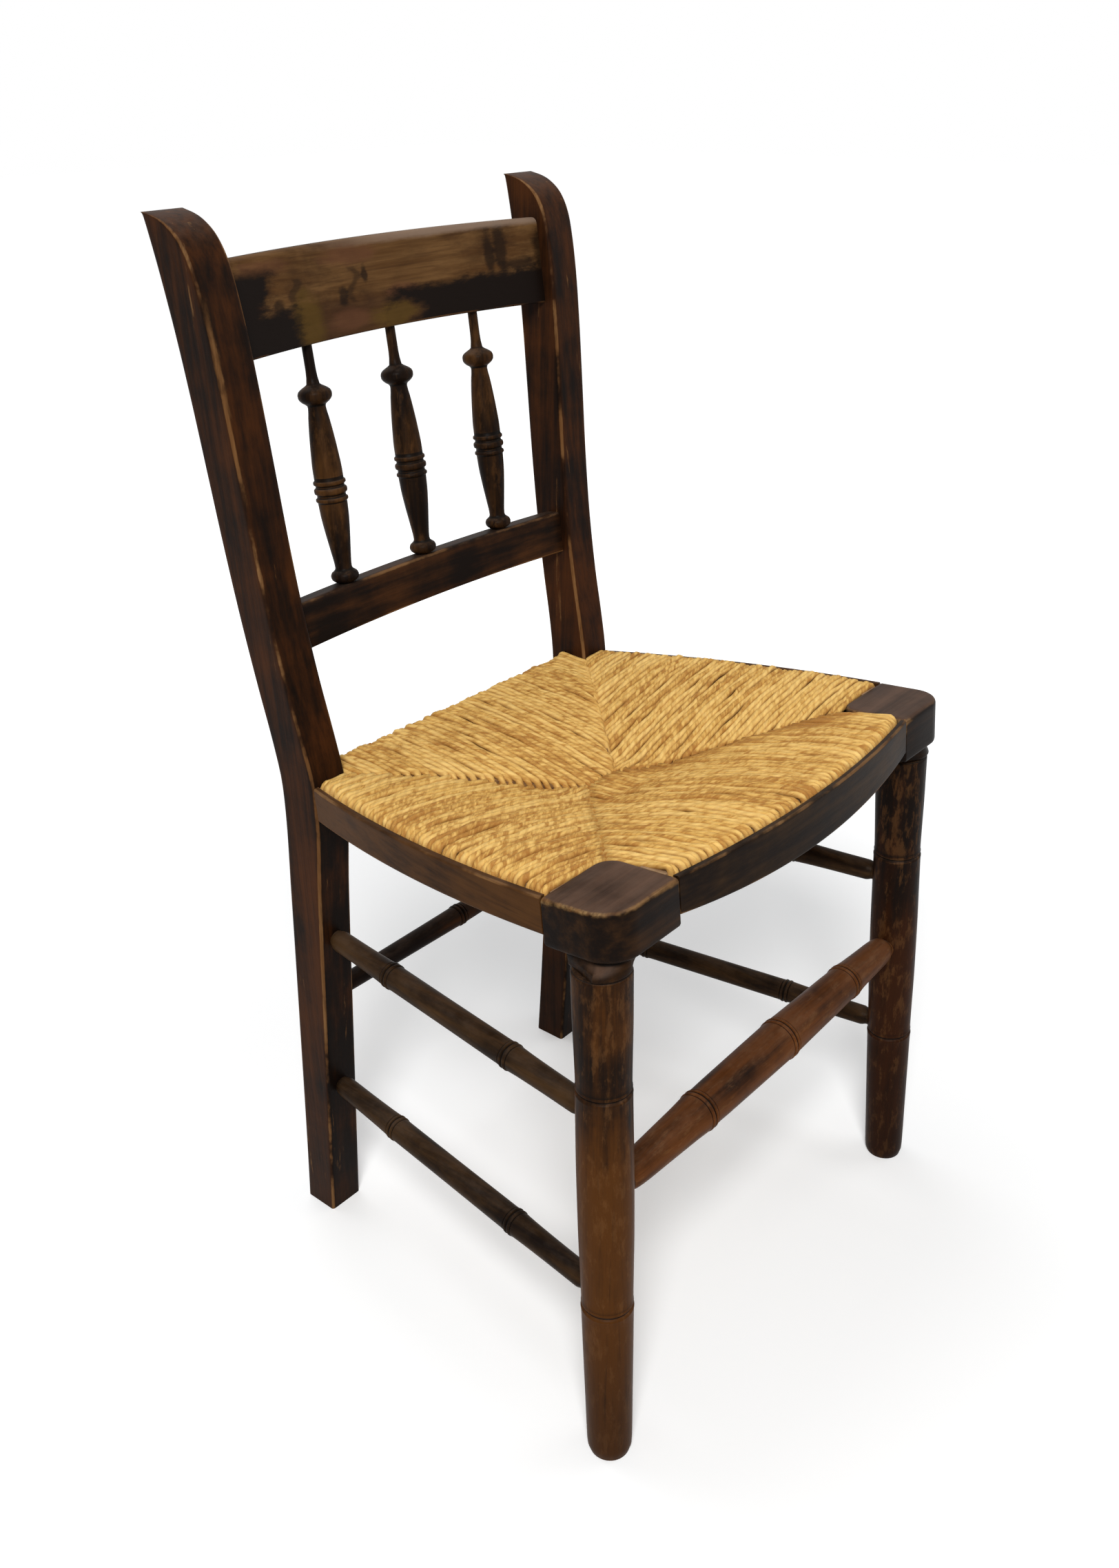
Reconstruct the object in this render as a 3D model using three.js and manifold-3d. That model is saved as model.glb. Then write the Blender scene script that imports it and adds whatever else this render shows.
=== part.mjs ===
// A side chair with a woven rush seat and a spindle back, +Z up, front towards -Y, millimetres.
// The pieces are drawn with the seat frame level, then the chair is tipped back by SEAT_SLOPE
// and its feet are cut off flat on the floor.
import * as THREE from 'three';
import { mergeVertices } from 'three/addons/utils/BufferGeometryUtils.js';
import Module from 'manifold-3d';

const wasm = await Module();
wasm.setup();

// Overall sizes
const SEAT_SLOPE = THREE.MathUtils.degToRad(5.1);
const SEAT_HEIGHT = 427; // top of the corner blocks above the back feet, square to the seat
const FIT = 0.3; // gap between a tenon and its mortise

// Front legs and the blocks on top of them
const LEG_X = 191.8; // half the leg spacing at seat height
const LEG_SPLAY = 0.0316; // sideways and forward lean, mm per mm of height
const LEG_RAKE = -0.0457;
const LEG_TENON = { radius: 12, length: 22 };
const BLOCK_OUTER_X = 212;
const BLOCK_INNER_X = 146;
const BLOCK_FRONT_Y = -25.6;
const BLOCK_BACK_Y = 32;
const BLOCK_CORNER = 24; // radius of the rounded outer corner
const BLOCK_INNER_CORNER = 14;
const BLOCK_HEIGHT = 56;
const BLOCK_BOTTOM = SEAT_HEIGHT - BLOCK_HEIGHT;
const BLOCK_SIDE = 34; // depth of the block's upright sides
const BLOCK_FOOT_RADIUS = 21;

// Back posts
const POST_WIDTH = 32;
const POST_CHAMFER = 1.6;
const POST_X = 158.5; // half the spacing of the post centres, from the floor to the seat
const POST_TOP_X = 174;
const POST_TOP = 826.5;
const EAR_HEIGHT = 36.5; // the rolled top of a post

// Edging strips
const STRIP_THICKNESS = 5;
const STRIP_DEPTH = 27;
const FRONT_STRIP_EXTRA = 8; // the front strip is this much deeper at its middle
const SIDE_BOW = 9;
const FRONT_BOW = 14;

// Rush seat and the rails inside it
const RUSH_CROWN = 4; // rush stands this high over the seat frame
const RUSH_LAYER = 5; // thickness of the rush round a rail
const RAIL_WIDTH = 20;
const RAIL_HEIGHT = 20;
const CORD_PITCH = 9;
const CORD_DEPTH = 2; // depth of the valley between two cords
const SAG = 33; // the middle of the seat hangs this far below its edge
const SAG_POWER = 1.6;
const PAD_THICKNESS = 24; // at the middle
const BACK_RUSH_Y = 314;
const MIDDLE_Y = 156; // where the front and back cords meet
const MIDDLE_HALF = 16; // half the width of that meeting line
const RAIL_TENON = 6.5;

// Back rails and spindles
const CREST_DROP = 98.5; // lower edge of the crest rail, below the top of the posts
const CREST_BOTTOM = POST_TOP - CREST_DROP;
const CREST_HEIGHT = 65;
const CREST_THICKNESS = 13;
const CREST_BOW = 14;
const CREST_ARCH = 3;
const LOWER_RAIL_RISE = 96; // lower edge of the lower rail, above the seat
const LOWER_RAIL_BOTTOM = SEAT_HEIGHT + LOWER_RAIL_RISE;
const LOWER_RAIL_HEIGHT = 34;
const LOWER_RAIL_THICKNESS = 15;
const LOWER_RAIL_BOW = 8;
const BACK_TENON = 9;
const SPINDLE_SPACING = 86;
const SPINDLE_SHIFT = -2; // the set of spindles stands this far off the middle
const SPINDLE_TENON = 7;

// Stretchers: height at the back end, height at the front end
const UPPER_STRETCHER = { back: 285, front: 262 };
const LOWER_STRETCHER = { back: 134.5, front: 111.5 };
const FRONT_STRETCHER_HEIGHT = 200.5;
const BACK_STRETCHER_HEIGHT = 222;
const STRETCHER_TENON = { radius: 7, length: 11 };
const FRONT_STRETCHER_TENON = { radius: 9.5, length: 11 };

const TURNED_SIDES = 14;
const LEG_SIDES = 20;

// Finishes
const darkWood = { color: 0x24160e, roughness: 0.42, metalness: 0 };
const wornWood = { color: 0x3a2415, roughness: 0.46, metalness: 0 };
const palePine = { color: 0x8a6a45, roughness: 0.75, metalness: 0 };
const rush = { color: 0xb48a3f, roughness: 0.8, metalness: 0 };

const chair = new THREE.Group();
chair.name = 'rush_seat_chair';

// helpers that turn outlines into closed solids

function solidOf(geometry) {
  const source = geometry.clone();
  source.deleteAttribute('normal');
  source.deleteAttribute('uv');
  const welded = mergeVertices(source, 1e-4);
  return new wasm.Manifold(new wasm.Mesh({
    numProp: 3,
    vertProperties: new Float32Array(welded.attributes.position.array),
    triVerts: new Uint32Array(welded.index.array),
  }));
}

function geometryOf(solid) {
  const mesh = solid.getMesh();
  const geometry = new THREE.BufferGeometry();
  geometry.setAttribute('position', new THREE.BufferAttribute(new Float32Array(mesh.vertProperties), 3));
  geometry.setIndex(new THREE.BufferAttribute(new Uint32Array(mesh.triVerts), 1));
  return geometry;
}

// Joins rings of points, each turning anticlockwise about the direction of travel.
function loft(rings) {
  const count = rings[0].length;
  const positions = [];
  const indices = [];
  for (const ring of rings) {
    for (const point of ring) positions.push(point.x, point.y, point.z);
  }
  for (let i = 0; i < rings.length - 1; i += 1) {
    for (let j = 0; j < count; j += 1) {
      const a = i * count + j;
      const b = i * count + ((j + 1) % count);
      indices.push(a, b, b + count, a, b + count, a + count);
    }
  }
  const caps = [[rings[0], 0, true], [rings[rings.length - 1], (rings.length - 1) * count, false]];
  for (const [ring, first, reversed] of caps) {
    const middle = positions.length / 3;
    const centre = new THREE.Vector3();
    for (const point of ring) centre.addScaledVector(point, 1 / count);
    positions.push(centre.x, centre.y, centre.z);
    for (let j = 0; j < count; j += 1) {
      const a = first + j;
      const b = first + ((j + 1) % count);
      if (reversed) indices.push(middle, b, a);
      else indices.push(middle, a, b);
    }
  }
  const geometry = new THREE.BufferGeometry();
  geometry.setAttribute('position', new THREE.Float32BufferAttribute(positions, 3));
  geometry.setIndex(indices);
  return solidOf(geometry);
}

// A piece turned on a lathe: profile holds [distance along the axis, radius] pairs.
function turned(start, end, profile, sides = TURNED_SIDES) {
  const first = profile[0];
  const last = profile[profile.length - 1];
  const outline = [new THREE.Vector2(0, first[0])];
  for (const [along, radius] of profile) outline.push(new THREE.Vector2(radius, along));
  outline.push(new THREE.Vector2(0, last[0]));
  const geometry = new THREE.LatheGeometry(outline, sides);
  const axis = end.clone().sub(start).normalize();
  const turn = new THREE.Quaternion().setFromUnitVectors(new THREE.Vector3(0, 1, 0), axis);
  geometry.applyQuaternion(turn);
  geometry.translate(start.x, start.y, start.z);
  return solidOf(geometry);
}

function rod(start, end, radius, sides = TURNED_SIDES) {
  return turned(start, end, [[0, radius], [start.distanceTo(end), radius]], sides);
}

function mirrored(solid) {
  return solid.mirror([1, 0, 0]);
}

function subtractAll(solid, cutters) {
  return cutters.reduce((rest, cutter) => rest.subtract(cutter), solid);
}

// lines that several pieces share

// Centre of the left or right front leg at a height; side is -1 or 1.
function legCentre(side, z) {
  const drop = SEAT_HEIGHT - z;
  return new THREE.Vector3(side * (LEG_X + drop * LEG_SPLAY), -drop * LEG_RAKE, z);
}

// Side view of a back post: [height, front face, back face]. Heights run from 0 at the floor
// to 1 at the seat and 2 at the top, so a post keeps its bends when its height changes.
const POST_SIDE = [
  [-0.0281, 359.6, 393],
  [0, 357.5, 390.7],
  [0.4684, 323, 357.4],
  [0.7728, 300.5, 336.5],
  [0.9251, 288, 326.3],
  [1, 285.5, 323.6],
  [1.0826, 288, 324.8],
  [1.1827, 292.5, 328.3],
  [1.3079, 296, 331.6],
  [1.4355, 297.2, 333.3],
  [1.5832, 297, 334],
  [1.7084, 297, 334.6],
  [1.8085, 298, 336],
  [1.8786, 300.4, 338],
  [1.9161, 303, 339.4],
  [1.9412, 306.8, 340.5],
  [1.9612, 312, 341.5],
  [1.9762, 318.6, 342.3],
  [1.9875, 326, 343],
  [1.995, 334, 343.6],
  [2, 341.8, 344.2],
];
const postHeight = (share) => (share < 1
  ? share * SEAT_HEIGHT
  : THREE.MathUtils.lerp(SEAT_HEIGHT, POST_TOP, share - 1));
const POST_STATIONS = POST_SIDE.map(([share, front, back]) => [postHeight(share), front, back]);

function postEdge(z, column) {
  for (let i = 1; i < POST_STATIONS.length; i += 1) {
    const [z0] = POST_STATIONS[i - 1];
    const [z1] = POST_STATIONS[i];
    if (z <= z1) {
      const t = (z - z0) / (z1 - z0);
      return THREE.MathUtils.lerp(POST_STATIONS[i - 1][column], POST_STATIONS[i][column], t);
    }
  }
  return POST_STATIONS[POST_STATIONS.length - 1][column];
}
const postFront = (z) => postEdge(z, 1);
const postBack = (z) => postEdge(z, 2);

function postX(z) {
  const t = Math.max(0, (z - SEAT_HEIGHT) / (POST_TOP - SEAT_HEIGHT));
  return THREE.MathUtils.lerp(POST_X, POST_TOP_X, t);
}

// Outside of the seat frame on the left or right, as the half width at a depth y.
function sideEdge(y) {
  const back = postFront(SEAT_HEIGHT);
  const t = THREE.MathUtils.clamp((y - BLOCK_BACK_Y) / (back - BLOCK_BACK_Y), -0.2, 1.2);
  const straight = THREE.MathUtils.lerp(BLOCK_OUTER_X, POST_X + POST_WIDTH / 2, t);
  return straight + 4 * SIDE_BOW * t * (1 - t);
}

// Outside of the seat frame at the front, as y at a place x across the chair.
function frontEdge(x) {
  const t = x / BLOCK_INNER_X;
  return BLOCK_FRONT_Y - FRONT_BOW * (1 - t * t);
}

// back posts

function postRing(z, front, back) {
  const half = POST_WIDTH / 2;
  const depth = back - front;
  const cut = Math.min(POST_CHAMFER, depth * 0.3);
  const x = postX(z);
  const corners = [
    [-half, front + cut], [-half + cut, front], [half - cut, front], [half, front + cut],
    [half, back - cut], [half - cut, back], [-half + cut, back], [-half, back - cut],
  ];
  return corners.map(([dx, y]) => new THREE.Vector3(x + dx, y, z));
}
const rightPostBlank = loft(POST_STATIONS.map(([z, front, back]) => postRing(z, front, back)));

// corner blocks

// Plan of the right block, shrunk by inset, anticlockwise from above.
function blockPlan(inset) {
  const x0 = BLOCK_INNER_X + inset;
  const x1 = BLOCK_OUTER_X - inset;
  const y0 = BLOCK_FRONT_Y + inset;
  const y1 = BLOCK_BACK_Y - inset;
  const corners = [
    [x0, y0, 1.5, 180], [x1, y0, BLOCK_CORNER - inset, 270],
    [x1, y1, 1.5, 0], [x0, y1, BLOCK_INNER_CORNER - inset * 0.5, 90],
  ];
  const points = [];
  for (const [x, y, radius, from] of corners) {
    const cx = x + radius * (x === x0 ? 1 : -1);
    const cy = y + radius * (y === y0 ? 1 : -1);
    const steps = radius > 3 ? 7 : 2;
    for (let i = 0; i <= steps; i += 1) {
      const angle = THREE.MathUtils.degToRad(from + (90 * i) / steps);
      points.push(new THREE.Vector2(cx + radius * Math.cos(angle), cy + radius * Math.sin(angle)));
    }
  }
  return points;
}

function blockRing(z, inset, roundness) {
  const centre = legCentre(1, BLOCK_BOTTOM);
  return blockPlan(inset).map((point) => {
    const angle = Math.atan2(point.y - centre.y, point.x - centre.x);
    const onCircle = new THREE.Vector2(
      centre.x + BLOCK_FOOT_RADIUS * Math.cos(angle),
      centre.y + BLOCK_FOOT_RADIUS * Math.sin(angle),
    );
    const place = point.clone().lerp(onCircle, roundness);
    return new THREE.Vector3(place.x, place.y, z);
  });
}

const STRIP_BOTTOM = SEAT_HEIGHT - STRIP_DEPTH;
const rightBlockBlank = loft([
  blockRing(BLOCK_BOTTOM, 9, 1),
  blockRing(BLOCK_BOTTOM + 2.5, 9, 0.94),
  blockRing(BLOCK_BOTTOM + 6, 9, 0.72),
  blockRing(BLOCK_BOTTOM + 9, 9, 0.38),
  blockRing(BLOCK_BOTTOM + 12, 9, 0.1),
  blockRing(BLOCK_BOTTOM + 15, 8, 0),
  blockRing(SEAT_HEIGHT - BLOCK_SIDE - 2, 6.5, 0),
  blockRing(SEAT_HEIGHT - BLOCK_SIDE - 1, 2, 0),
  blockRing(SEAT_HEIGHT - BLOCK_SIDE + 1, 0, 0),
  blockRing(SEAT_HEIGHT - 2.5, 0, 0),
  blockRing(SEAT_HEIGHT - 0.8, 0.7, 0),
  blockRing(SEAT_HEIGHT, 2.5, 0),
]);

// rails inside the rush, swept along the outline of the seat

const RAIL_TOP = SEAT_HEIGHT + RUSH_CROWN - RUSH_LAYER;
const RAIL_BOTTOM = RAIL_TOP - RAIL_HEIGHT;
const RAIL_INSET = STRIP_THICKNESS + RUSH_LAYER;

// Box swept through plan points: outer and inner edges, bottom and top heights, grown by extra.
function sweep(stations, extra) {
  return loft(stations.map(({ outer, inner, bottom, top }) => {
    const out = outer.clone().sub(inner).normalize().multiplyScalar(extra);
    const a = outer.clone().add(out);
    const b = inner.clone().sub(out);
    return [
      new THREE.Vector3(a.x, a.y, bottom - extra),
      new THREE.Vector3(a.x, a.y, top + extra),
      new THREE.Vector3(b.x, b.y, top + extra),
      new THREE.Vector3(b.x, b.y, bottom - extra),
    ];
  }));
}

function steps(from, to, count) {
  return Array.from({ length: count + 1 }, (_, i) => from + ((to - from) * i) / count);
}

function sideRail(extra) {
  const from = BLOCK_BACK_Y - RAIL_TENON;
  const to = postFront(SEAT_HEIGHT - 12) + RAIL_TENON;
  return sweep(steps(to + extra, from - extra, 8).map((y) => ({
    outer: new THREE.Vector2(sideEdge(y) - RAIL_INSET, y),
    inner: new THREE.Vector2(sideEdge(y) - RAIL_INSET - RAIL_WIDTH, y),
    bottom: RAIL_BOTTOM,
    top: RAIL_TOP,
  })), extra);
}

function frontRail(extra) {
  const end = BLOCK_INNER_X + RAIL_TENON + extra;
  return sweep(steps(end, -end, 12).map((x) => ({
    outer: new THREE.Vector2(x, frontEdge(x) + RAIL_INSET),
    inner: new THREE.Vector2(x, frontEdge(x) + RAIL_INSET + RAIL_WIDTH),
    bottom: RAIL_BOTTOM,
    top: RAIL_TOP,
  })), extra);
}

const BACK_RAIL_Y = BACK_RUSH_Y - RUSH_LAYER;
function backRail(extra) {
  const end = POST_X - POST_WIDTH / 2 + RAIL_TENON + extra;
  return sweep(steps(-end, end, 2).map((x) => ({
    outer: new THREE.Vector2(x, BACK_RAIL_Y),
    inner: new THREE.Vector2(x, BACK_RAIL_Y - RAIL_WIDTH * 0.7),
    bottom: RAIL_BOTTOM,
    top: RAIL_TOP,
  })), extra);
}

// edging strips

function strip(outlineAt, bottomAt, places) {
  return loft(places.map((place) => {
    const [outer, inner] = outlineAt(place);
    const bottom = bottomAt(place);
    const edge = inner.clone().sub(outer).normalize();
    const soft = outer.clone().addScaledVector(edge, 1.5);
    return [
      new THREE.Vector3(outer.x, outer.y, bottom + 1.5),
      new THREE.Vector3(outer.x, outer.y, SEAT_HEIGHT - 1.5),
      new THREE.Vector3(soft.x, soft.y, SEAT_HEIGHT),
      new THREE.Vector3(inner.x, inner.y, SEAT_HEIGHT),
      new THREE.Vector3(inner.x, inner.y, bottom),
      new THREE.Vector3(soft.x, soft.y, bottom),
    ];
  }));
}

const rightStrip = strip(
  (y) => [new THREE.Vector2(sideEdge(y), y), new THREE.Vector2(sideEdge(y) - STRIP_THICKNESS, y)],
  () => STRIP_BOTTOM,
  steps(postFront(SEAT_HEIGHT) - FIT, BLOCK_BACK_Y, 12),
).subtract(loft(POST_STATIONS.slice(2, 6).map(([z, front, back]) => postRing(z, front - FIT, back))));

const frontStrip = strip(
  (x) => [new THREE.Vector2(x, frontEdge(x)), new THREE.Vector2(x, frontEdge(x) + STRIP_THICKNESS)],
  (x) => STRIP_BOTTOM - FRONT_STRIP_EXTRA * (1 - (x / BLOCK_INNER_X) ** 2),
  steps(BLOCK_INNER_X, -BLOCK_INNER_X, 18),
);

// rush seat

// Depth of the seat below its edge at a distance inside the nearest edge.
const HALF_DEPTH = BACK_RUSH_Y - MIDDLE_Y;
function sagAt(distance) {
  return SAG * Math.min(1, Math.max(0, distance / HALF_DEPTH)) ** SAG_POWER;
}

// One cord, or one valley, from the seam over the rail and back under it to the seam.
function cordRing(edge, seam, lowered) {
  const inward = seam.clone().sub(edge);
  const reach = inward.length();
  inward.normalize();
  const edgeTop = SEAT_HEIGHT + RUSH_CROWN - lowered;
  const edgeBottom = RAIL_BOTTOM - RUSH_LAYER + lowered;
  const profile = [];
  for (const t of [1, 0.7, 0.38]) {
    const distance = Math.max(reach * t, 12 + 14 * t);
    profile.push([Math.min(distance, reach), edgeTop - sagAt(distance)]);
  }
  profile.push([Math.min(8, reach * 0.3), edgeTop - 0.6]);
  profile.push([2.2 + lowered * 0.5, edgeTop - 3.2]);
  profile.push([lowered, edgeTop - 9]);
  profile.push([lowered, edgeBottom + 7]);
  profile.push([4 + lowered * 0.5, edgeBottom + 1]);
  const middleBottom = SEAT_HEIGHT + RUSH_CROWN - PAD_THICKNESS;
  for (const t of [0.55, 1]) {
    const distance = reach * t;
    const blend = Math.min(1, distance / 60);
    const bottom = THREE.MathUtils.lerp(edgeBottom, middleBottom - sagAt(distance), blend);
    profile.push([distance, Math.min(bottom, edgeBottom + 4) + lowered * 0.6]);
  }
  return profile.map(([distance, z]) => new THREE.Vector3(
    edge.x + inward.x * distance,
    edge.y + inward.y * distance,
    z,
  ));
}

// Cords side by side along one rail; edgeAt and seamAt give plan points.
function cordField(from, to, edgeAt, seamAt) {
  const cords = Math.round(Math.abs(to - from) / CORD_PITCH);
  const rings = steps(from, to, cords * 2).map((place, i) => (
    cordRing(edgeAt(place), seamAt(place), i % 2 === 0 ? CORD_DEPTH : 0)
  ));
  return loft(rings);
}

const SEAM_OVERLAP = 2.5;
const BACK_CORNER = new THREE.Vector2(POST_X - POST_WIDTH / 2 + 2, postFront(SEAT_HEIGHT) - 1);
const FRONT_CORNER = new THREE.Vector2(BLOCK_INNER_X + 4, BLOCK_BACK_Y - 4);
const APEX = new THREE.Vector2(MIDDLE_HALF, MIDDLE_Y);

// Half width of the front and back fields at a depth y, which is where the side cords end.
function seamX(y) {
  const corner = y > MIDDLE_Y ? BACK_CORNER : FRONT_CORNER;
  const t = (y - APEX.y) / (corner.y - APEX.y);
  return THREE.MathUtils.lerp(APEX.x, corner.x, Math.max(0, t));
}

// Depth of the seam at a place x, towards the back corner or towards the front corner.
function seamY(x, corner) {
  const t = Math.max(0, (Math.abs(x) - APEX.x) / (corner.x - APEX.x));
  return THREE.MathUtils.lerp(APEX.y, corner.y, Math.min(1, t));
}

const rushInset = STRIP_THICKNESS + FIT;
const rightField = cordField(
  FRONT_CORNER.y - 6,
  BACK_CORNER.y + 14,
  (y) => new THREE.Vector2(sideEdge(y) - rushInset, y),
  (y) => new THREE.Vector2(seamX(y) - SEAM_OVERLAP, y),
);
const backField = cordField(
  BACK_CORNER.x + 6,
  -BACK_CORNER.x - 6,
  (x) => new THREE.Vector2(x, BACK_RUSH_Y),
  (x) => new THREE.Vector2(x, seamY(x, BACK_CORNER) - SEAM_OVERLAP),
);
const frontField = cordField(
  -FRONT_CORNER.x - 6,
  FRONT_CORNER.x + 6,
  (x) => new THREE.Vector2(x, frontEdge(x) + rushInset),
  (x) => new THREE.Vector2(x, seamY(x, FRONT_CORNER) + SEAM_OVERLAP),
);
const weave = rightField.add(mirrored(rightField)).add(backField).add(frontField);

const postHole = loft(POST_STATIONS.slice(2, 7).map(([z, front, back]) => (
  postRing(z, front - FIT, back + 20)
))).translate([-FIT, 0, 0]);
const blockHole = loft([
  blockRing(BLOCK_BOTTOM, -FIT, 0), blockRing(SEAT_HEIGHT + 40, -FIT, 0),
]).translate([0, 0, -6]);
const rushSeat = subtractAll(weave, [
  postHole, mirrored(postHole), blockHole, mirrored(blockHole),
  sideRail(FIT), mirrored(sideRail(FIT)), frontRail(FIT), backRail(FIT),
]);

// back rails, bowed towards the back

// A board across the back. Stations hold a share of the clear span, a reach past the shoulder
// and how far the section is shrunk there.
function backBoard(board, stations) {
  return loft(stations.map(({ share, reach, inset }) => {
    const swell = 1 - share * share;
    const z0 = board.bottom + board.arch * swell + inset;
    const z1 = board.bottom + board.height + board.arch * swell * 0.8 - inset;
    const front0 = postFront(z0) + board.setBack + board.bow * swell + inset;
    const front1 = postFront(Math.min(z1, POST_TOP - EAR_HEIGHT)) + board.setBack + board.bow * swell + inset;
    const deep = board.thickness - 2 * inset;
    const soft = Math.min(board.round, deep * 0.45);
    const section = [
      [front0 + 1.5, z0], [front0, z0 + 1.5], [front1, z1 - soft], [front1 + soft * 0.3, z1 - soft * 0.3],
      [front1 + soft, z1], [front1 + deep - 2, z1], [front1 + deep, z1 - 2],
      [front0 + deep, z0 + 1.5], [front0 + deep - 1.5, z0],
    ];
    return section.map(([y, z]) => {
      const clear = postX(z) - POST_WIDTH / 2;
      return new THREE.Vector3(share * clear + reach, y, z);
    });
  }));
}

const CREST = {
  bottom: CREST_BOTTOM, height: CREST_HEIGHT, thickness: CREST_THICKNESS,
  bow: CREST_BOW, arch: CREST_ARCH, setBack: 9, round: 7,
};
const LOWER_RAIL = {
  bottom: LOWER_RAIL_BOTTOM, height: LOWER_RAIL_HEIGHT, thickness: LOWER_RAIL_THICKNESS,
  bow: LOWER_RAIL_BOW, arch: 1, setBack: 8.5, round: 3,
};
const TENON_INSET = 2;

// The board between the posts with a thinner tenon at each end.
function boardWithTenons(board) {
  const stations = [
    { share: 1, reach: BACK_TENON, inset: TENON_INSET },
    { share: 1, reach: -FIT, inset: TENON_INSET },
    ...steps(1, -1, 12).map((share) => ({ share, reach: -FIT * share, inset: 0 })),
    { share: -1, reach: FIT, inset: TENON_INSET },
    { share: -1, reach: -BACK_TENON, inset: TENON_INSET },
  ];
  return backBoard(board, stations);
}

// What has to be cut out of the right post for the board's tenon.
function mortise(board) {
  return backBoard(board, [
    { share: 1, reach: BACK_TENON + FIT, inset: TENON_INSET - FIT },
    { share: 1, reach: -4, inset: TENON_INSET - FIT },
  ]);
}

// spindles

// Height above the lower rail and radius of the turning, for a spindle of SPINDLE_LENGTH.
const SPINDLE_LENGTH = 172.5;
const SPINDLE_PROFILE = [
  [0, 5.2], [1, 7.6], [3, 10], [5.5, 10.6], [8, 9.6], [10, 6.4], [12, 5.4],
  [24, 6.4], [38, 8.4], [52, 10.2], [60, 10.8], [62.5, 12], [65, 10.9], [66.5, 10.8],
  [69, 12.2], [71.5, 10.9], [73, 10.8], [75.5, 12], [78, 10.8], [84, 10.7],
  [96, 9.6], [112, 7.6], [122, 6.2], [129, 5.2], [131, 6.2], [133, 9.8], [136, 12.2],
  [138.5, 12.4], [141, 11.4], [143.5, 7.8], [145.5, 4.8], [155, 3.7],
];

const crestMiddle = (x) => {
  const t = x / (postX(CREST_BOTTOM) - POST_WIDTH / 2);
  const z = CREST_BOTTOM + CREST_ARCH * (1 - t * t);
  const y = postFront(z) + CREST.setBack + CREST_BOW * (1 - t * t) + CREST_THICKNESS / 2;
  return new THREE.Vector3(x, y, z);
};
const lowerRailMiddle = (x) => {
  const t = x / (postX(LOWER_RAIL_BOTTOM) - POST_WIDTH / 2);
  const z = LOWER_RAIL_BOTTOM + LOWER_RAIL_HEIGHT + 0.8 * (1 - t * t);
  const front = postFront(z) + LOWER_RAIL.setBack + LOWER_RAIL_BOW * (1 - t * t);
  return new THREE.Vector3(x, front + LOWER_RAIL_THICKNESS / 2, z);
};

function spindle(x, extra) {
  const foot = lowerRailMiddle(x);
  const head = crestMiddle(x);
  const length = foot.distanceTo(head);
  const grow = extra > 0 ? extra : 0;
  const profile = [[-SPINDLE_TENON - grow, 4.5 + grow], [FIT, 4.5 + grow]];
  if (grow === 0) {
    const stretch = (length - FIT) / SPINDLE_LENGTH;
    for (const [along, radius] of SPINDLE_PROFILE) profile.push([FIT + along * stretch, radius]);
  }
  profile.push([length - 2, 3.6 + grow], [length + SPINDLE_TENON + grow, 3.6 + grow]);
  return turned(foot, head, profile, TURNED_SIDES);
}
const spindlePlaces = [-1, 0, 1].map((place) => place * SPINDLE_SPACING + SPINDLE_SHIFT);

// stretchers

// Bamboo-like turning: a swelling rod with a pair of grooves beside each raised ring.
function bamboo(length, endRadius, midRadius, rings, tenon, depth) {
  const profile = [[-depth, tenon], [1.5, tenon], [6, endRadius]];
  const swell = (s) => endRadius + (midRadius - endRadius) * Math.sin(Math.PI * s) ** 0.8;
  const places = [0, ...rings, 1];
  for (let i = 1; i < places.length; i += 1) {
    const from = places[i - 1];
    const to = places[i];
    for (const t of [0.2, 0.5, 0.8]) {
      const s = from + (to - from) * t;
      profile.push([length * s, swell(s) + (t === 0.5 ? -0.4 : 0)]);
    }
    if (i < places.length - 1) {
      const at = length * to;
      const radius = swell(to);
      profile.push([at - 3, radius + 0.5], [at - 1.2, radius + 0.9], [at, radius - 0.9]);
      profile.push([at + 1.2, radius + 0.9], [at + 3, radius + 0.5]);
    }
  }
  profile.push([length - 6, endRadius], [length - 1.5, tenon], [length + depth, tenon]);
  return profile;
}

function stretcher(start, end, look) {
  const length = start.distanceTo(end);
  return turned(start, end, bamboo(
    length, look.end, look.middle, look.rings, look.tenon.radius, look.tenon.length,
  ));
}

function socket(start, end, tenon) {
  const along = end.clone().sub(start).normalize();
  const reach = tenon.length + FIT;
  const deep = start.clone().addScaledVector(along, -reach);
  const far = end.clone().addScaledVector(along, reach);
  return rod(deep, far, tenon.radius + FIT);
}

// Ends of a side stretcher: on the front face of the post and on the back of the leg.
function sideLine(side, { back, front }) {
  const leg = legCentre(side, front);
  const start = new THREE.Vector3(side * POST_X, postFront(back), back);
  const line = leg.clone().sub(start).normalize();
  return [start, leg.addScaledVector(line, -LEG_SURFACE)];
}
const LEG_SURFACE = 18.6; // distance from a leg's axis to the shoulder of a stretcher

function frontLine() {
  const a = legCentre(-1, FRONT_STRETCHER_HEIGHT);
  const b = legCentre(1, FRONT_STRETCHER_HEIGHT);
  a.x += LEG_SURFACE;
  b.x -= LEG_SURFACE;
  return [a, b];
}

function backLine() {
  const inner = POST_X - POST_WIDTH / 2;
  const y = (postFront(BACK_STRETCHER_HEIGHT) + postBack(BACK_STRETCHER_HEIGHT)) / 2;
  return [
    new THREE.Vector3(-inner, y, BACK_STRETCHER_HEIGHT),
    new THREE.Vector3(inner, y, BACK_STRETCHER_HEIGHT),
  ];
}

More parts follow.
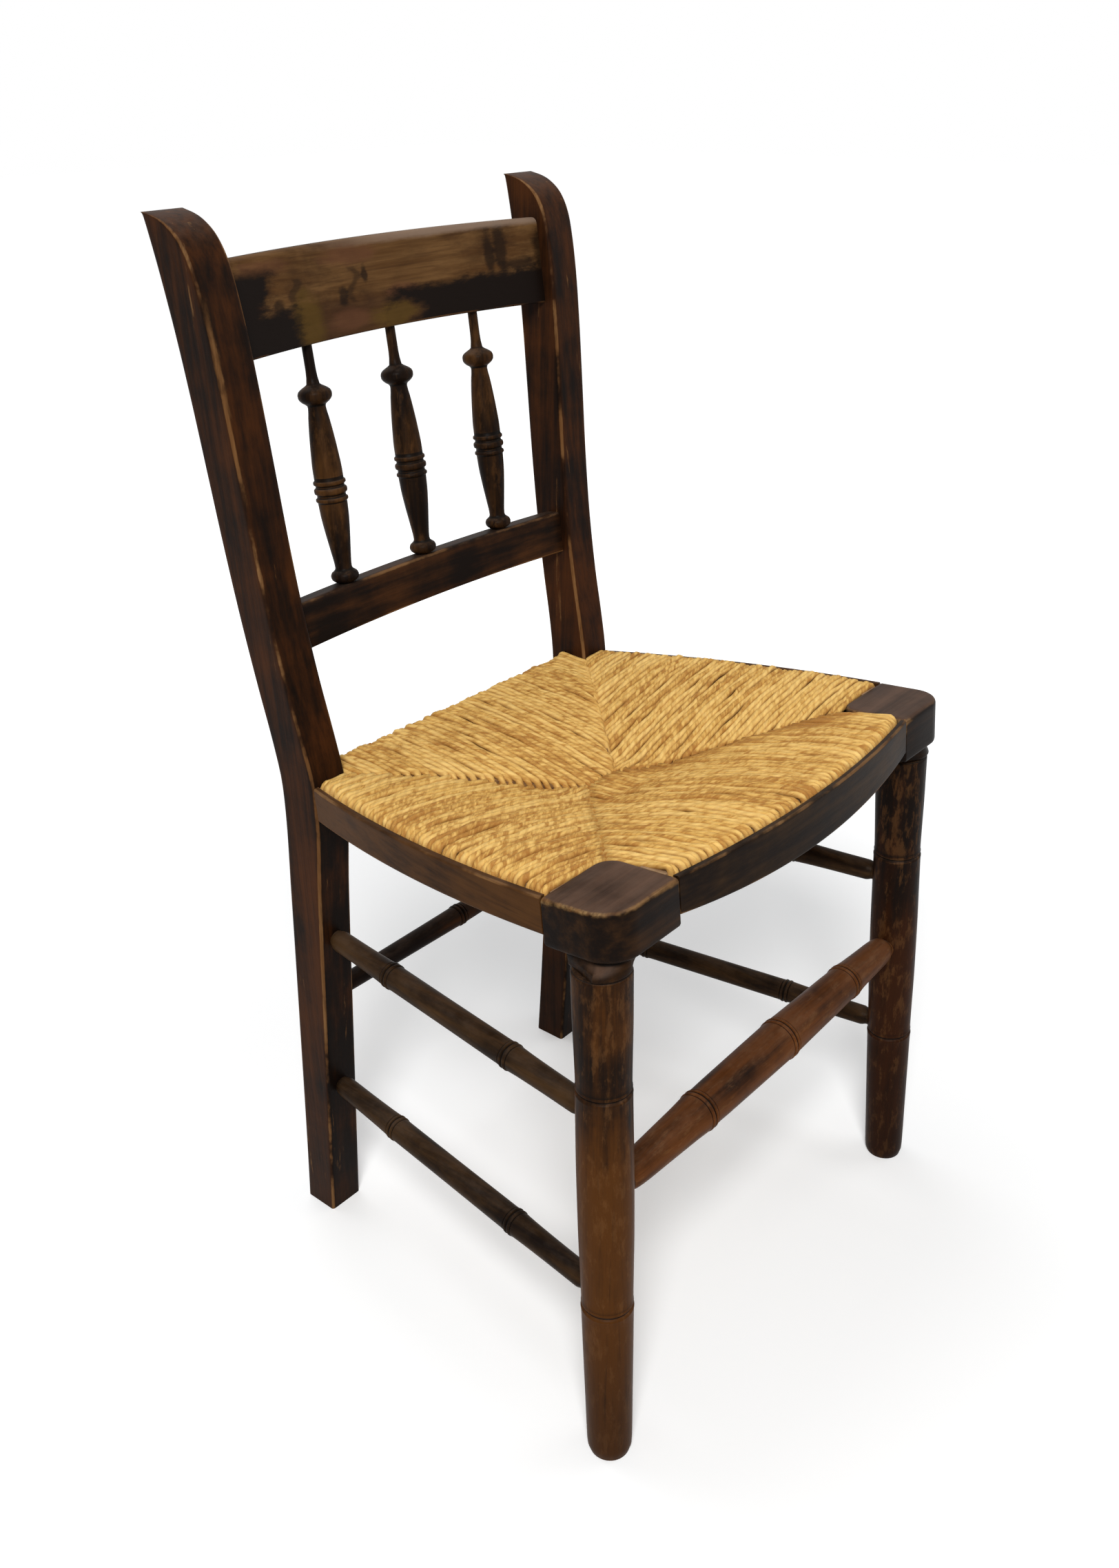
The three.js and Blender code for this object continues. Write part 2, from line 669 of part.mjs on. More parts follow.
const SIDE_LOOK = { end: 8.6, middle: 10, rings: [0.26, 0.74], tenon: STRETCHER_TENON };
const FRONT_LOOK = { end: 11.2, middle: 16.6, rings: [0.25, 0.55, 0.82], tenon: FRONT_STRETCHER_TENON };
const BACK_LOOK = { end: 7.8, middle: 9.2, rings: [0.5], tenon: STRETCHER_TENON };

// front legs

// Distance down from the underside of the block, and radius; the foot is cut at the floor.
const LEG_SPARE = 60; // a leg is turned this much too long, then cut off at the floor
const SHOULDER_SPARE = 1.6; // the block cuts the leaning shoulder off flush
const LEG_PROFILE = [
  [-SHOULDER_SPARE, 20.4], [2.6, 20.6], [3.8, 19], [5, 19.8], [30, 19.6], [62, 18.9], [81, 18.5],
  [82.4, 19], [83.6, 17.3], [85.2, 19.3], [88, 19.1], [110, 19.2], [150, 19.5], [200, 19.3],
  [240, 18.6], [262, 18.2], [263.6, 18.6], [264.8, 17], [266.4, 18.9], [269, 18.6],
  [300, 18.1], [350, 17.3], [392, 16.6], [399, 16.2], [403, 14.9], [418, 14.5],
];

function legBlank(side) {
  const top = legCentre(side, BLOCK_BOTTOM);
  const floor = legCentre(side, -LEG_SPARE);
  const profile = [[-LEG_TENON.length, LEG_TENON.radius], [-SHOULDER_SPARE, LEG_TENON.radius]];
  for (const [along, radius] of LEG_PROFILE) profile.push([along, radius]);
  return turned(top, floor, profile, LEG_SIDES);
}

function legSocket(side) {
  const top = legCentre(side, BLOCK_BOTTOM - 5);
  const up = legCentre(side, BLOCK_BOTTOM + LEG_TENON.length + FIT + 0.4);
  return rod(top, up, LEG_TENON.radius + FIT, LEG_SIDES);
}

// floor plane: below it everything is cut away

const BACK_FOOT_Y = 374;
const FLOOR_SPAN = 1200;
const floorCutter = solidOf(
  new THREE.BoxGeometry(FLOOR_SPAN, FLOOR_SPAN, LEG_SPARE * 2)
    .translate(0, 0, -LEG_SPARE)
    .rotateX(SEAT_SLOPE)
    .translate(0, BACK_FOOT_Y, 0),
);

// the pieces

function piece(name, solid, finish) {
  const geometry = geometryOf(solid);
  geometry.rotateX(-SEAT_SLOPE);
  const mesh = new THREE.Mesh(geometry, new THREE.MeshStandardMaterial(finish));
  mesh.name = name;
  chair.add(mesh);
}

const SIDES = [['left', -1], ['right', 1]];
const pick = (side, solid) => (side > 0 ? solid : mirrored(solid));

for (const [word, side] of SIDES) {
  const upper = sideLine(side, UPPER_STRETCHER);
  const lower = sideLine(side, LOWER_STRETCHER);
  const sideSockets = [socket(...upper, STRETCHER_TENON), socket(...lower, STRETCHER_TENON)];
  const post = subtractAll(pick(side, rightPostBlank), [
    ...sideSockets,
    socket(...backLine(), STRETCHER_TENON),
    pick(side, sideRail(FIT)),
    backRail(FIT),
    pick(side, mortise(CREST)),
    pick(side, mortise(LOWER_RAIL)),
    floorCutter,
  ]);
  piece(`rear_${word}_post`, post, darkWood);

  const block = pick(side, rightBlockBlank).subtract(legSocket(side));
  const leg = subtractAll(legBlank(side), [
    ...sideSockets,
    socket(...frontLine(), FRONT_STRETCHER_TENON),
    block,
    floorCutter,
  ]);
  piece(`front_${word}_leg`, leg, darkWood);
  const mortised = subtractAll(block, [pick(side, sideRail(FIT)), frontRail(FIT)]);
  piece(`front_${word}_corner_block`, mortised, darkWood);

  piece(`${word}_upper_stretcher`, stretcher(...upper, SIDE_LOOK), darkWood);
  piece(`${word}_lower_stretcher`, stretcher(...lower, SIDE_LOOK), darkWood);
  piece(`${word}_seat_rail`, pick(side, sideRail(0)), palePine);
  piece(`${word}_edging_strip`, pick(side, rightStrip), darkWood);
}

piece('front_stretcher', stretcher(...frontLine(), FRONT_LOOK), wornWood);
piece('back_stretcher', stretcher(...backLine(), BACK_LOOK), darkWood);
piece('front_seat_rail', frontRail(0), palePine);
piece('back_seat_rail', backRail(0), palePine);
piece('front_edging_strip', frontStrip, darkWood);
piece('rush_seat', rushSeat, rush);

const spindleHoles = spindlePlaces.map((x) => spindle(x, FIT));
piece('crest_rail', subtractAll(boardWithTenons(CREST), spindleHoles), wornWood);
piece('lower_back_rail', subtractAll(boardWithTenons(LOWER_RAIL), spindleHoles), darkWood);
['left', 'centre', 'right'].forEach((word, i) => {
  piece(`${word}_spindle`, spindle(spindlePlaces[i], 0), darkWood);
});

// Stand the chair on the floor with the middle of its footprint at the origin.
const bounds = new THREE.Box3().setFromObject(chair);
const centre = bounds.getCenter(new THREE.Vector3());
for (const mesh of chair.children) mesh.geometry.translate(-centre.x, -centre.y, -bounds.min.z);

export default chair;
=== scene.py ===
"""Looks of an old side chair with a woven rush seat and a spindle back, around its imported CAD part.

Every piece is drawn in the seat's own frame, in millimetres. Left and right are as seen from
the front, with right at +X. Y runs from the front legs to the back, and Z is square to the seat.
place() tips it back onto its feet and gives metres in the part's frame.
"""

import math

import bpy
import numpy as np
from mathutils import Matrix, Vector


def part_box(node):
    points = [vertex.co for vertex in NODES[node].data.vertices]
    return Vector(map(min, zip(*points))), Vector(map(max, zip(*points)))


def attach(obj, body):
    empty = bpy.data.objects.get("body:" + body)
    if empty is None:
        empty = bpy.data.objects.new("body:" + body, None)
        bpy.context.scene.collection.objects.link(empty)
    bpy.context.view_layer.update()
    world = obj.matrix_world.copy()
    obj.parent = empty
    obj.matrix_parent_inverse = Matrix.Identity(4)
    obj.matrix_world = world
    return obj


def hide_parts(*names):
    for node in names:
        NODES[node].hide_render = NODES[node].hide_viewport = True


bl_info = {
    "name": "Rush seat side chair",
    "version": (1, 0, 0),
    "blender": (4, 5, 0),
    "location": "View3D > Sidebar > Chair",
    "description": "Builds the weathered looks of a rush-seated side chair",
    "category": "Object",
}

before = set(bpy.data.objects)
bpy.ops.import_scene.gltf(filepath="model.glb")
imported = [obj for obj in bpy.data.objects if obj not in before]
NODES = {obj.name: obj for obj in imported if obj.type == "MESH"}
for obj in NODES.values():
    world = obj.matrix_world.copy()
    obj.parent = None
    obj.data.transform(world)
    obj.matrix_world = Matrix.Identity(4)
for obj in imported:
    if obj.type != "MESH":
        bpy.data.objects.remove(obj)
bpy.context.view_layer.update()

# The seat's own frame
SEAT_SLOPE = math.radians(5.1)
SEAT_HEIGHT = 427.0
SLOPE_COS = math.cos(SEAT_SLOPE)
SLOPE_SIN = math.sin(SEAT_SLOPE)

SIDES = (("left", -1), ("right", 1))

# Front legs and the blocks on top of them
LEG_X = 191.8
LEG_SPLAY = 0.0316
LEG_RAKE = -0.0457
LEG_SURFACE = 18.6
LEG_LINE_END = -60.0  # the middle line of a leg is drawn past the floor, to this height
BLOCK_OUTER_X = 212.0
BLOCK_INNER_X = 146.0
BLOCK_FRONT_Y = -25.6
BLOCK_BACK_Y = 32.0
BLOCK_CORNER = 24.0
BLOCK_INNER_CORNER = 14.0
BLOCK_BOTTOM = 371.0
BLOCK_SIDE = 34.0
BLOCK_FOOT_RADIUS = 21.0
BLOCK_FOOT_INSET = 9
# Height above the underside, and radius
BLOCK_NECK = [(5.5, 18.6), (6.0, 18.9), (6.5, 19.8), (7.1, 20.6)]
# Height above the underside, inset from the block's plan, and how round it is
BLOCK_FOOT = [
    (7.8, 9, 1.0), (9.4, 9, 0.95), (11.2, 9, 0.84), (12.8, 9, 0.70), (14.2, 9, 0.53),
    (15.4, 9, 0.36), (16.6, 8.8, 0.2), (18, 8.4, 0.08),
]
# Height from the lower edge of the sides, and inset
BLOCK_STEP = [(-2.2, 7), (-1.6, 3.4), (-0.9, 1.4), (0, 0.4), (1.4, 0), (4, 0), (14, 0)]
# Height from the top, and inset
BLOCK_TOP = [
    (-5.5, 0), (-3.2, 0), (-2.0, 0.3), (-1.0, 0.9), (-0.4, 1.7), (-0.05, 3.0), (0, 5.0), (0, 8.0),
]
BLOCK_RUBBED = 12.0  # the edges of a block are rubbed down to this far below its top

# Back posts
POST_WIDTH = 32.0
POST_X = 158.5
POST_TOP_X = 174.0
POST_TOP = 826.5
POST_AT_SEAT = 285.5  # front face of the posts where the seat ends
# Height, front face and back face
POST_STATIONS = np.array([
    (-12, 359.6, 393), (0, 357.5, 390.7), (200, 323, 357.4), (330, 300.5, 336.5),
    (395, 288, 326.3), (427, 285.5, 323.6), (460, 288, 324.8), (500, 292.5, 328.3),
    (550, 296, 331.6), (601, 297.2, 333.3), (660, 297, 334), (710, 297, 334.6),
    (750, 298, 336), (778, 300.4, 338), (793, 303, 339.4), (803, 306.8, 340.5),
    (811, 312, 341.5), (817, 318.6, 342.3), (821.5, 326, 343), (824.5, 334, 343.6),
    (826.5, 341.8, 344.2),
])

# Edging strips
STRIP_THICKNESS = 5.0
STRIP_DEPTH = 27.0
STRIP_RADII = (1.8, 1.9, 0.7, 0.7)
STRIP_GAP = 0.1
FRONT_STRIP_EXTRA = 8.0
SIDE_BOW = 9.0
FRONT_BOW = 14.0

# Rush seat
RUSH_CROWN = 4.0
RUSH_LAYER = 5.0
RAIL_HEIGHT = 20.0
RUSH_TOP = SEAT_HEIGHT + RUSH_CROWN
RAIL_TOP = RUSH_TOP - RUSH_LAYER
RAIL_BOTTOM = RAIL_TOP - RAIL_HEIGHT
RUSH_BOTTOM = RAIL_BOTTOM - RUSH_LAYER
RUSH_GAP = 0.3
SAG_POWER = 1.6
PAD_THICKNESS = 24.0
BACK_RUSH_Y = 314.0
MIDDLE_Y = 156.0
MIDDLE_HALF = 16.0
RAIL_ROUND_TOP = 8.0
RAIL_ROUND_BOTTOM = 6.0

# Boards across the back
CREST = {
    "bottom": 728.0, "height": 65.0, "thickness": 13.0, "bow": 14.0, "arch": 3.0,
    "set_back": 9.0, "radii": (1.6, 6.4, 3.0, 1.6),
}
LOWER_RAIL = {
    "bottom": 523.0, "height": 34.0, "thickness": 15.0, "bow": 8.0, "arch": 1.0,
    "set_back": 8.5, "radii": (1.6, 3.2, 2.4, 1.6),
}
BOARD_ENTERS_POST = 1.5
ROLL_START = 790.0  # the boards follow the posts up to here, where the tops roll back
ARCH_TOP = 0.8  # share of a board's arch that its upper edge has
SPINDLE_PLACES = {"left": -88.0, "centre": -2.0, "right": 84.0}
# Height above the lower rail, and radius
SPINDLE_PROFILE = [
    (-2, 4.6), (0, 5.2), (1, 7.6), (3, 10), (5.5, 10.6), (8, 9.6), (10, 7.0), (12, 6.3),
    (24, 7.5), (38, 9.2), (52, 10.5), (60, 10.8), (61.4, 10.9), (62.5, 12), (64, 11.9),
    (65, 10.7), (66.8, 10.6), (68, 12), (69.6, 12.3), (71.2, 12), (72.2, 10.7), (73.6, 10.6),
    (74.8, 12), (76.4, 12), (77.6, 10.8), (84, 10.8), (96, 10.1), (112, 8.7), (122, 7.5),
    (129, 6.5), (131, 7.0), (133, 9.8), (136, 12.2), (138.5, 12.4), (141, 11.4),
    (143.5, 7.8), (145.5, 4.8), (155, 3.8),
]
SPINDLE_TOP_RADIUS = 3.7

# Stretchers. The side ones have a height at the back post and one at the leg.
UPPER_STRETCHER = (285.0, 262.0)
LOWER_STRETCHER = (134.5, 111.5)
FRONT_STRETCHER_HEIGHT = 200.5
BACK_STRETCHER_HEIGHT = 222.0
SIDE_LOOK = {"end": 8.6, "middle": 10.0, "rings": (0.26, 0.74), "tenon": 7.0}
FRONT_LOOK = {"end": 11.2, "middle": 16.6, "rings": (0.25, 0.55, 0.82), "tenon": 9.5}
BACK_LOOK = {"end": 7.8, "middle": 9.2, "rings": (0.5,), "tenon": 7.0}

# A ring of a stretcher, two low beads beside a groove: distance from its middle, and rise
STRETCHER_RING = [
    (-6.2, 0), (-4.6, 0.1), (-3.9, -0.7), (-3.2, 0.2), (-2.2, 0.8), (-1.2, 0.7), (-0.6, -0.5),
    (0, -0.9), (0.6, -0.5), (1.2, 0.7), (2.2, 0.8), (3.2, 0.2), (3.9, -0.7), (4.6, 0.1), (6.2, 0),
]
LEG_SIDES = 48
ROD_SIDES = 36
ROD_SHARP_ANGLE = 50

# Front leg: distance down from the underside of the block, and radius
LEG_PROFILE = [
    (-6.3, 18.6), (-5.8, 19.0), (-5.2, 19.7), (-4, 19.9), (5, 19.8), (30, 19.6),
    (62, 18.9), (80, 18.6), (81.6, 19), (82.7, 18.4), (83.7, 17.0), (84.7, 18.5), (85.8, 19.3),
    (88, 19.1), (110, 19.2), (150, 19.5), (200, 19.3), (240, 18.6), (261, 18.3),
    (262.6, 18.6), (263.8, 18), (264.9, 16.7), (266, 18.2), (267.2, 18.9), (269.4, 18.6),
    (300, 18.1), (350, 17.3), (392, 16.6), (399, 16.2), (403, 14.9), (418, 14.5), (440, 14.5),
]

# The photograph's viewpoint, in metres, and its lens
VIEWPOINT = Vector((-0.76611, -0.62489, 0.91213))
VIEW_RIGHT = Vector((0.64736, -0.76199, -0.01735))
VIEW_UP = Vector((0.36196, 0.28731, 0.88681))
VIEW_AHEAD = Vector((0.67076, 0.58036, -0.4618))
LENS = 32.643
LENS_SHIFT = (0.00698, 0.00541)
SENSOR_WIDTH = 36.0

# Name, place, aim, size, power and tint
LIGHTS = (
    ("key_light", (-1.7, -1.3, 2.4), (0, 0, 0.4), 0.9, 74.0, (1.0, 0.985, 0.96)),
    ("fill_light", (1.9, -1.4, 1.5), (0, 0, 0.4), 2.0, 10.0, (1.0, 0.99, 0.97)),
    ("top_light", (0.1, 0.9, 2.7), (0, 0, 0.5), 1.6, 18.0, (1.0, 1.0, 1.0)),
)
WORLD_STRENGTH = 0.25
FLOOR_HALF = 12.0
# The floor glows a little, more where it is far from the chair: glow, added glow, from and to
FLOOR_GLOW = (0.20, 0.6, 0.35, 1.7)

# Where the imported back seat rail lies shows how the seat's frame sits in the part's frame.
RAIL_BACK_Y = BACK_RUSH_Y - RUSH_LAYER
rail_low, rail_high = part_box("back_seat_rail")
SHIFT_Y = rail_high.y * 1000 - (RAIL_BACK_Y * SLOPE_COS + RAIL_TOP * SLOPE_SIN)
SHIFT_Z = rail_low.z * 1000 - (RAIL_BOTTOM * SLOPE_COS - RAIL_BACK_Y * SLOPE_SIN)


def place(points):
    """Seat-frame millimetres to the part's frame in metres."""
    points = np.asarray(points, float)
    y = points[..., 1] * SLOPE_COS + points[..., 2] * SLOPE_SIN + SHIFT_Y
    z = points[..., 2] * SLOPE_COS - points[..., 1] * SLOPE_SIN + SHIFT_Z
    return np.stack([points[..., 0], y, z], axis=-1) / 1000


# Lines that several pieces share

def smooth_column(z, column):
    """Value of a post's face at heights z, on one smooth curve through the stations."""
    heights = POST_STATIONS[:, 0]
    values = POST_STATIONS[:, column]
    slopes = np.diff(values) / np.diff(heights)
    tangents = np.concatenate([slopes[:1], (slopes[1:] + slopes[:-1]) / 2, slopes[-1:]])
    at = np.clip(np.searchsorted(heights, z, side="right") - 1, 0, len(heights) - 2)
    span = heights[at + 1] - heights[at]
    t = np.clip((z - heights[at]) / span, 0, 1)
    rise = values[at + 1] - values[at]
    eased = t * t * (3 - 2 * t)
    lead = span * tangents[at] * t * (1 - t) ** 2
    trail = span * tangents[at + 1] * t * t * (1 - t)
    return values[at] + rise * eased + lead - trail


def post_front(z):
    return smooth_column(np.asarray(z, float), 1)


def post_back(z):
    return smooth_column(np.asarray(z, float), 2)


def post_face(z, column=1):
    """Front face (column 1) or back face (2) of a post, on straight lines between stations."""
    return float(np.interp(z, POST_STATIONS[:, 0], POST_STATIONS[:, column]))


def post_x(z):
    t = np.clip((np.asarray(z, float) - SEAT_HEIGHT) / (POST_TOP - SEAT_HEIGHT), 0, 1)
    return POST_X + (POST_TOP_X - POST_X) * t


def leg_centre(side, z):
    drop = SEAT_HEIGHT - z
    return np.array([side * (LEG_X + drop * LEG_SPLAY), -drop * LEG_RAKE, z])


def side_edge(y):
    t = np.clip((y - BLOCK_BACK_Y) / (POST_AT_SEAT - BLOCK_BACK_Y), -0.2, 1.2)
    straight = BLOCK_OUTER_X + (POST_X + POST_WIDTH / 2 - BLOCK_OUTER_X) * t
    return straight + 4 * SIDE_BOW * t * (1 - t)


def front_edge(x):
    t = x / BLOCK_INNER_X
    return BLOCK_FRONT_Y - FRONT_BOW * (1 - t * t)


# Meshes

def make_object(name, points, faces):
    """A mesh object from points in metres and lists of point numbers."""
    mesh = bpy.data.meshes.new(name)
    mesh.from_pydata([tuple(p) for p in points], [], [tuple(f) for f in faces])
    mesh.validate()
    mesh.update()
    thing = bpy.data.objects.new(name, mesh)
    bpy.context.scene.collection.objects.link(thing)
    return thing


def ring_mesh(name, rings, sharp_angle=38):
    """Joins closed rings of seat-frame points into one closed solid, caps both ends."""
    rings = np.asarray(rings, float)
    count, around = rings.shape[:2]
    points = list(place(rings.reshape(-1, 3)))
    faces = []
    for i in range(count - 1):
        for j in range(around):
            a = i * around + j
            b = i * around + (j + 1) % around
            faces.append((a, b, b + around, a + around))
    for ring, reverse in ((0, True), (count - 1, False)):
        middle = len(points)
        points.append(place(rings[ring].mean(axis=0)))
        for j in range(around):
            a = ring * around + j
            b = ring * around + (j + 1) % around
            faces.append((middle, b, a) if reverse else (middle, a, b))
    points = np.array(points)
    corners = [(points[f[0]], points[f[i]], points[f[i + 1]])
               for f in faces for i in range(1, len(f) - 1)]
    volume = sum(float(np.dot(a, np.cross(b, c))) for a, b, c in corners)
    if volume < 0:
        faces = [tuple(reversed(f)) for f in faces]
    thing = make_object(name, points, faces)
    thing.data.shade_smooth()
    thing.data.set_sharp_from_angle(angle=math.radians(sharp_angle))
    mark_relief(thing.data)
    return thing


RELIEF_SCALE = 0.008
ROUNDING_REACH = 0.42  # most of a side that one rounding may take
GUARD_REACH = 0.48


def mark_relief(mesh):
    """Stores how far each point stands out: 1 on a crisp edge, 0 on a flat, -1 in a groove."""
    count = len(mesh.vertices)
    points = np.zeros(count * 3, np.float32)
    mesh.vertices.foreach_get("co", points)
    points = points.reshape(-1, 3)
    normals = np.zeros(count * 3, np.float32)
    mesh.vertex_normals.foreach_get("vector", normals)
    normals = normals.reshape(-1, 3)
    edges = np.zeros(len(mesh.edges) * 2, np.int32)
    mesh.edges.foreach_get("vertices", edges)
    edges = edges.reshape(-1, 2)
    total = np.zeros(count)
    weight = np.zeros(count)
    for here, there in ((0, 1), (1, 0)):
        a = edges[:, here]
        away = points[a] - points[edges[:, there]]
        length = np.maximum(np.linalg.norm(away, axis=1), 1e-5)
        bend = (away * normals[a]).sum(axis=1) / length ** 2
        np.add.at(total, a, bend)
        np.add.at(weight, a, 1)
    relief = np.clip(total / np.maximum(weight, 1) * RELIEF_SCALE, -1, 1)
    layer = mesh.attributes.new("relief", "FLOAT", "POINT")
    layer.data.foreach_set("value", relief.astype(np.float32))


def rounded_section(corners, radii, arc=5, guard=2.2):
    """Outline of a section with rounded corners, and a point close beside each rounding."""
    corners = np.asarray(corners, float)
    outline = []
    for i, corner in enumerate(corners):
        before = corners[i - 1] - corner
        after = corners[(i + 1) % len(corners)] - corner
        reach_before = np.linalg.norm(before)
        reach_after = np.linalg.norm(after)
        before = before / max(reach_before, 1e-6)
        after = after / max(reach_after, 1e-6)
        half_angle = math.acos(float(np.clip(np.dot(before, after), -1, 1))) / 2
        wanted = radii[i] / max(math.tan(half_angle), 0.05)
        setback = min(wanted, reach_before * ROUNDING_REACH, reach_after * ROUNDING_REACH)
        start = corner + before * setback
        end = corner + after * setback
        outline.append(corner + before * min(setback + guard, reach_before * GUARD_REACH))
        for step in range(arc + 1):
            t = step / arc
            outline.append(start * (1 - t) ** 2 + 2 * corner * t * (1 - t) + end * t * t)
        outline.append(corner + after * min(setback + guard, reach_after * GUARD_REACH))
    return np.array(outline)


def cut_at_floor(rings):
    """Ends each line of points where it meets the floor. Rings run from the top down."""
    rings = np.array(rings, float)
    heights = place(rings)[..., 2]
    below = np.nonzero((heights < 0).any(axis=1))[0]
    if not len(below):
        return rings
    first = below[0]
    kept = rings[:first + 1].copy()
    for j in range(rings.shape[1]):
        for i in range(first, rings.shape[0]):
            if heights[i, j] <= 0:
                t = heights[i - 1, j] / (heights[i - 1, j] - heights[i, j])
                kept[first, j] = rings[i - 1, j] + (rings[i, j] - rings[i - 1, j]) * t
                break
    return kept


def soft_profile(profile, longest=7.0):
    """A turner's profile on a smooth curve through its points, which never overshoots them."""
    along = np.array([p[0] for p in profile], float)
    radius = np.array([p[1] for p in profile], float)
    slope = np.diff(radius) / np.diff(along)
    tangent = np.zeros(len(along))
    tangent[0], tangent[-1] = slope[0], slope[-1]
    same = slope[1:] * slope[:-1] > 0
    both = np.where(same, slope[1:] + slope[:-1], 1)
    tangent[1:-1] = np.where(same, 2 * slope[1:] * slope[:-1] / both, 0)
    points = []
    for i, span in enumerate(np.diff(along)):
        pieces = max(2, math.ceil(span / longest))
        for step in range(pieces):
            t = step / pieces
            eased = t * t * (3 - 2 * t)
            value = radius[i] + (radius[i + 1] - radius[i]) * eased
            value += span * (tangent[i] * t * (1 - t) ** 2 - tangent[i + 1] * t * t * (1 - t))
            points.append((along[i] + span * t, value))
    points.append((along[-1], radius[-1]))
    return points


def turned_rings(start, end, profile, sides=40):
    """Rings of a piece turned on a lathe between two points of the seat's frame."""
    start = np.asarray(start, float)
    axis = np.asarray(end, float) - start
    axis /= np.linalg.norm(axis)
    across = np.cross(axis, (0.0, 0.0, 1.0) if abs(axis[2]) < 0.9 else (0.0, 1.0, 0.0))
    across /= np.linalg.norm(across)
    beside = np.cross(axis, across)
    angles = np.linspace(0, 2 * math.pi, sides, endpoint=False)
    circle = np.outer(np.cos(angles), across) + np.outer(np.sin(angles), beside)
    return np.array([start + axis * along + circle * radius for along, radius in profile])


# Shader graphs

class Value:
    """A shader socket that takes part in ordinary arithmetic."""

    def __init__(self, graph, socket):
        self.graph = graph
        self.socket = socket

    def _math(self, operation, *values):
        return self.graph.add("ShaderNodeMath", {"operation": operation}, dict(enumerate(values)))

    def __add__(self, other):
        return self._math("ADD", self, other)

    __radd__ = __add__

    def __sub__(self, other):
        return self._math("SUBTRACT", self, other)

    def __rsub__(self, other):
        return self._math("SUBTRACT", other, self)

    def __mul__(self, other):
        return self._math("MULTIPLY", self, other)

    __rmul__ = __mul__

    def __truediv__(self, other):
        return self._math("DIVIDE", self, other)

    def __pow__(self, other):
        return self._math("POWER", self, other)

    def sine(self):
        return self._math("SINE", self)

    def larger(self, other):
        return self._math("MAXIMUM", self, other)

    def smaller(self, other):
        return self._math("MINIMUM", self, other)

    def step(self, low, high):
        """0 below low, 1 above high, and a soft ramp between."""
        settings = {"interpolation_type": "SMOOTHSTEP"}
        values = {"Value": self, "From Min": low, "From Max": high}
        return self.graph.add("ShaderNodeMapRange", settings, values)


class Graph:
    """One material's nodes, ending in a Principled shader."""

    def __init__(self, name):
        self.material = bpy.data.materials.new(name)
        self.material.use_nodes = True
        self.tree = self.material.node_tree
        self.tree.nodes.clear()
        self.out = self.tree.nodes.new("ShaderNodeOutputMaterial")
        self.shader = self.tree.nodes.new("ShaderNodeBsdfPrincipled")
        self.tree.links.new(self.shader.outputs[0], self.out.inputs["Surface"])

    def connect(self, value, socket):
        if isinstance(value, Value):
            self.tree.links.new(value.socket, socket)
        else:
            socket.default_value = value

    def add(self, kind, settings=None, values=None, out=0):
        """A node of a kind, with its settings made first and then its inputs."""
        node = self.tree.nodes.new(kind)
        for key, setting in (settings or {}).items():
            setattr(node, key, setting)
        for key, value in (values or {}).items():
            self.connect(value, node.inputs[key])
        return Value(self, node.outputs[out])

    def mix(self, factor, first, second):
        """Blends two colours."""
        settings = {"data_type": "RGBA"}
        return self.add("ShaderNodeMix", settings, {0: factor, 6: first, 7: second}, 2)

    def place(self):
        return self.add("ShaderNodeTexCoord", out="Object")

    def split(self, vector):
        """X, Y and Z of a vector."""
        first = self.add("ShaderNodeSeparateXYZ", None, {0: vector})
        return [Value(self, out) for out in first.socket.node.outputs]

    def scaled(self, vector, factors):
        return self.add("ShaderNodeVectorMath", {"operation": "MULTIPLY"}, {0: vector, 1: factors})

    def noise(self, vector, scale, detail=3.0, roughness=0.55):
        values = {"Vector": vector, "Scale": scale, "Detail": detail, "Roughness": roughness}
        return self.add("ShaderNodeTexNoise", None, values, 0)

    def attribute(self, name, out="Fac"):
        return self.add("ShaderNodeAttribute", {"attribute_name": name}, out=out)

    def surface(self, **values):
        for name, value in values.items():
            self.connect(value, self.shader.inputs[name.replace("_", " ")])

    def relief(self, height, strength, distance):
        values = {"Height": height, "Strength": strength, "Distance": distance}
        self.connect(self.add("ShaderNodeBump", None, values), self.shader.inputs["Normal"])


def colour(red, green, blue):
    return (red, green, blue, 1.0)


GRAIN_FINE = 420.0
GRAIN_LONG = 9.0
FACES_FRONT = (-0.25, 0.2)
FACES_UP = (0.4, 0.95)
SEAT_LEVEL = (0.38, 0.46)
DARK_GRAIN = colour(0.006, 0.0035, 0.0025)
WORN_GRAIN = colour(0.045, 0.02, 0.008)
GROOVE_DIRT = colour(0.004, 0.003, 0.0025)
CREST_SMUDGE = colour(0.030, 0.014, 0.006)
CREST_LOWER = colour(0.034, 0.015, 0.009)
OLIVE_WOOD = colour(0.100, 0.058, 0.011)
RED_WOOD = colour(0.115, 0.048, 0.024)
# Colour of the painted highlight along the crest rail's top rounding
CREST_HIGHLIGHT = colour(0.22, 0.155, 0.115)


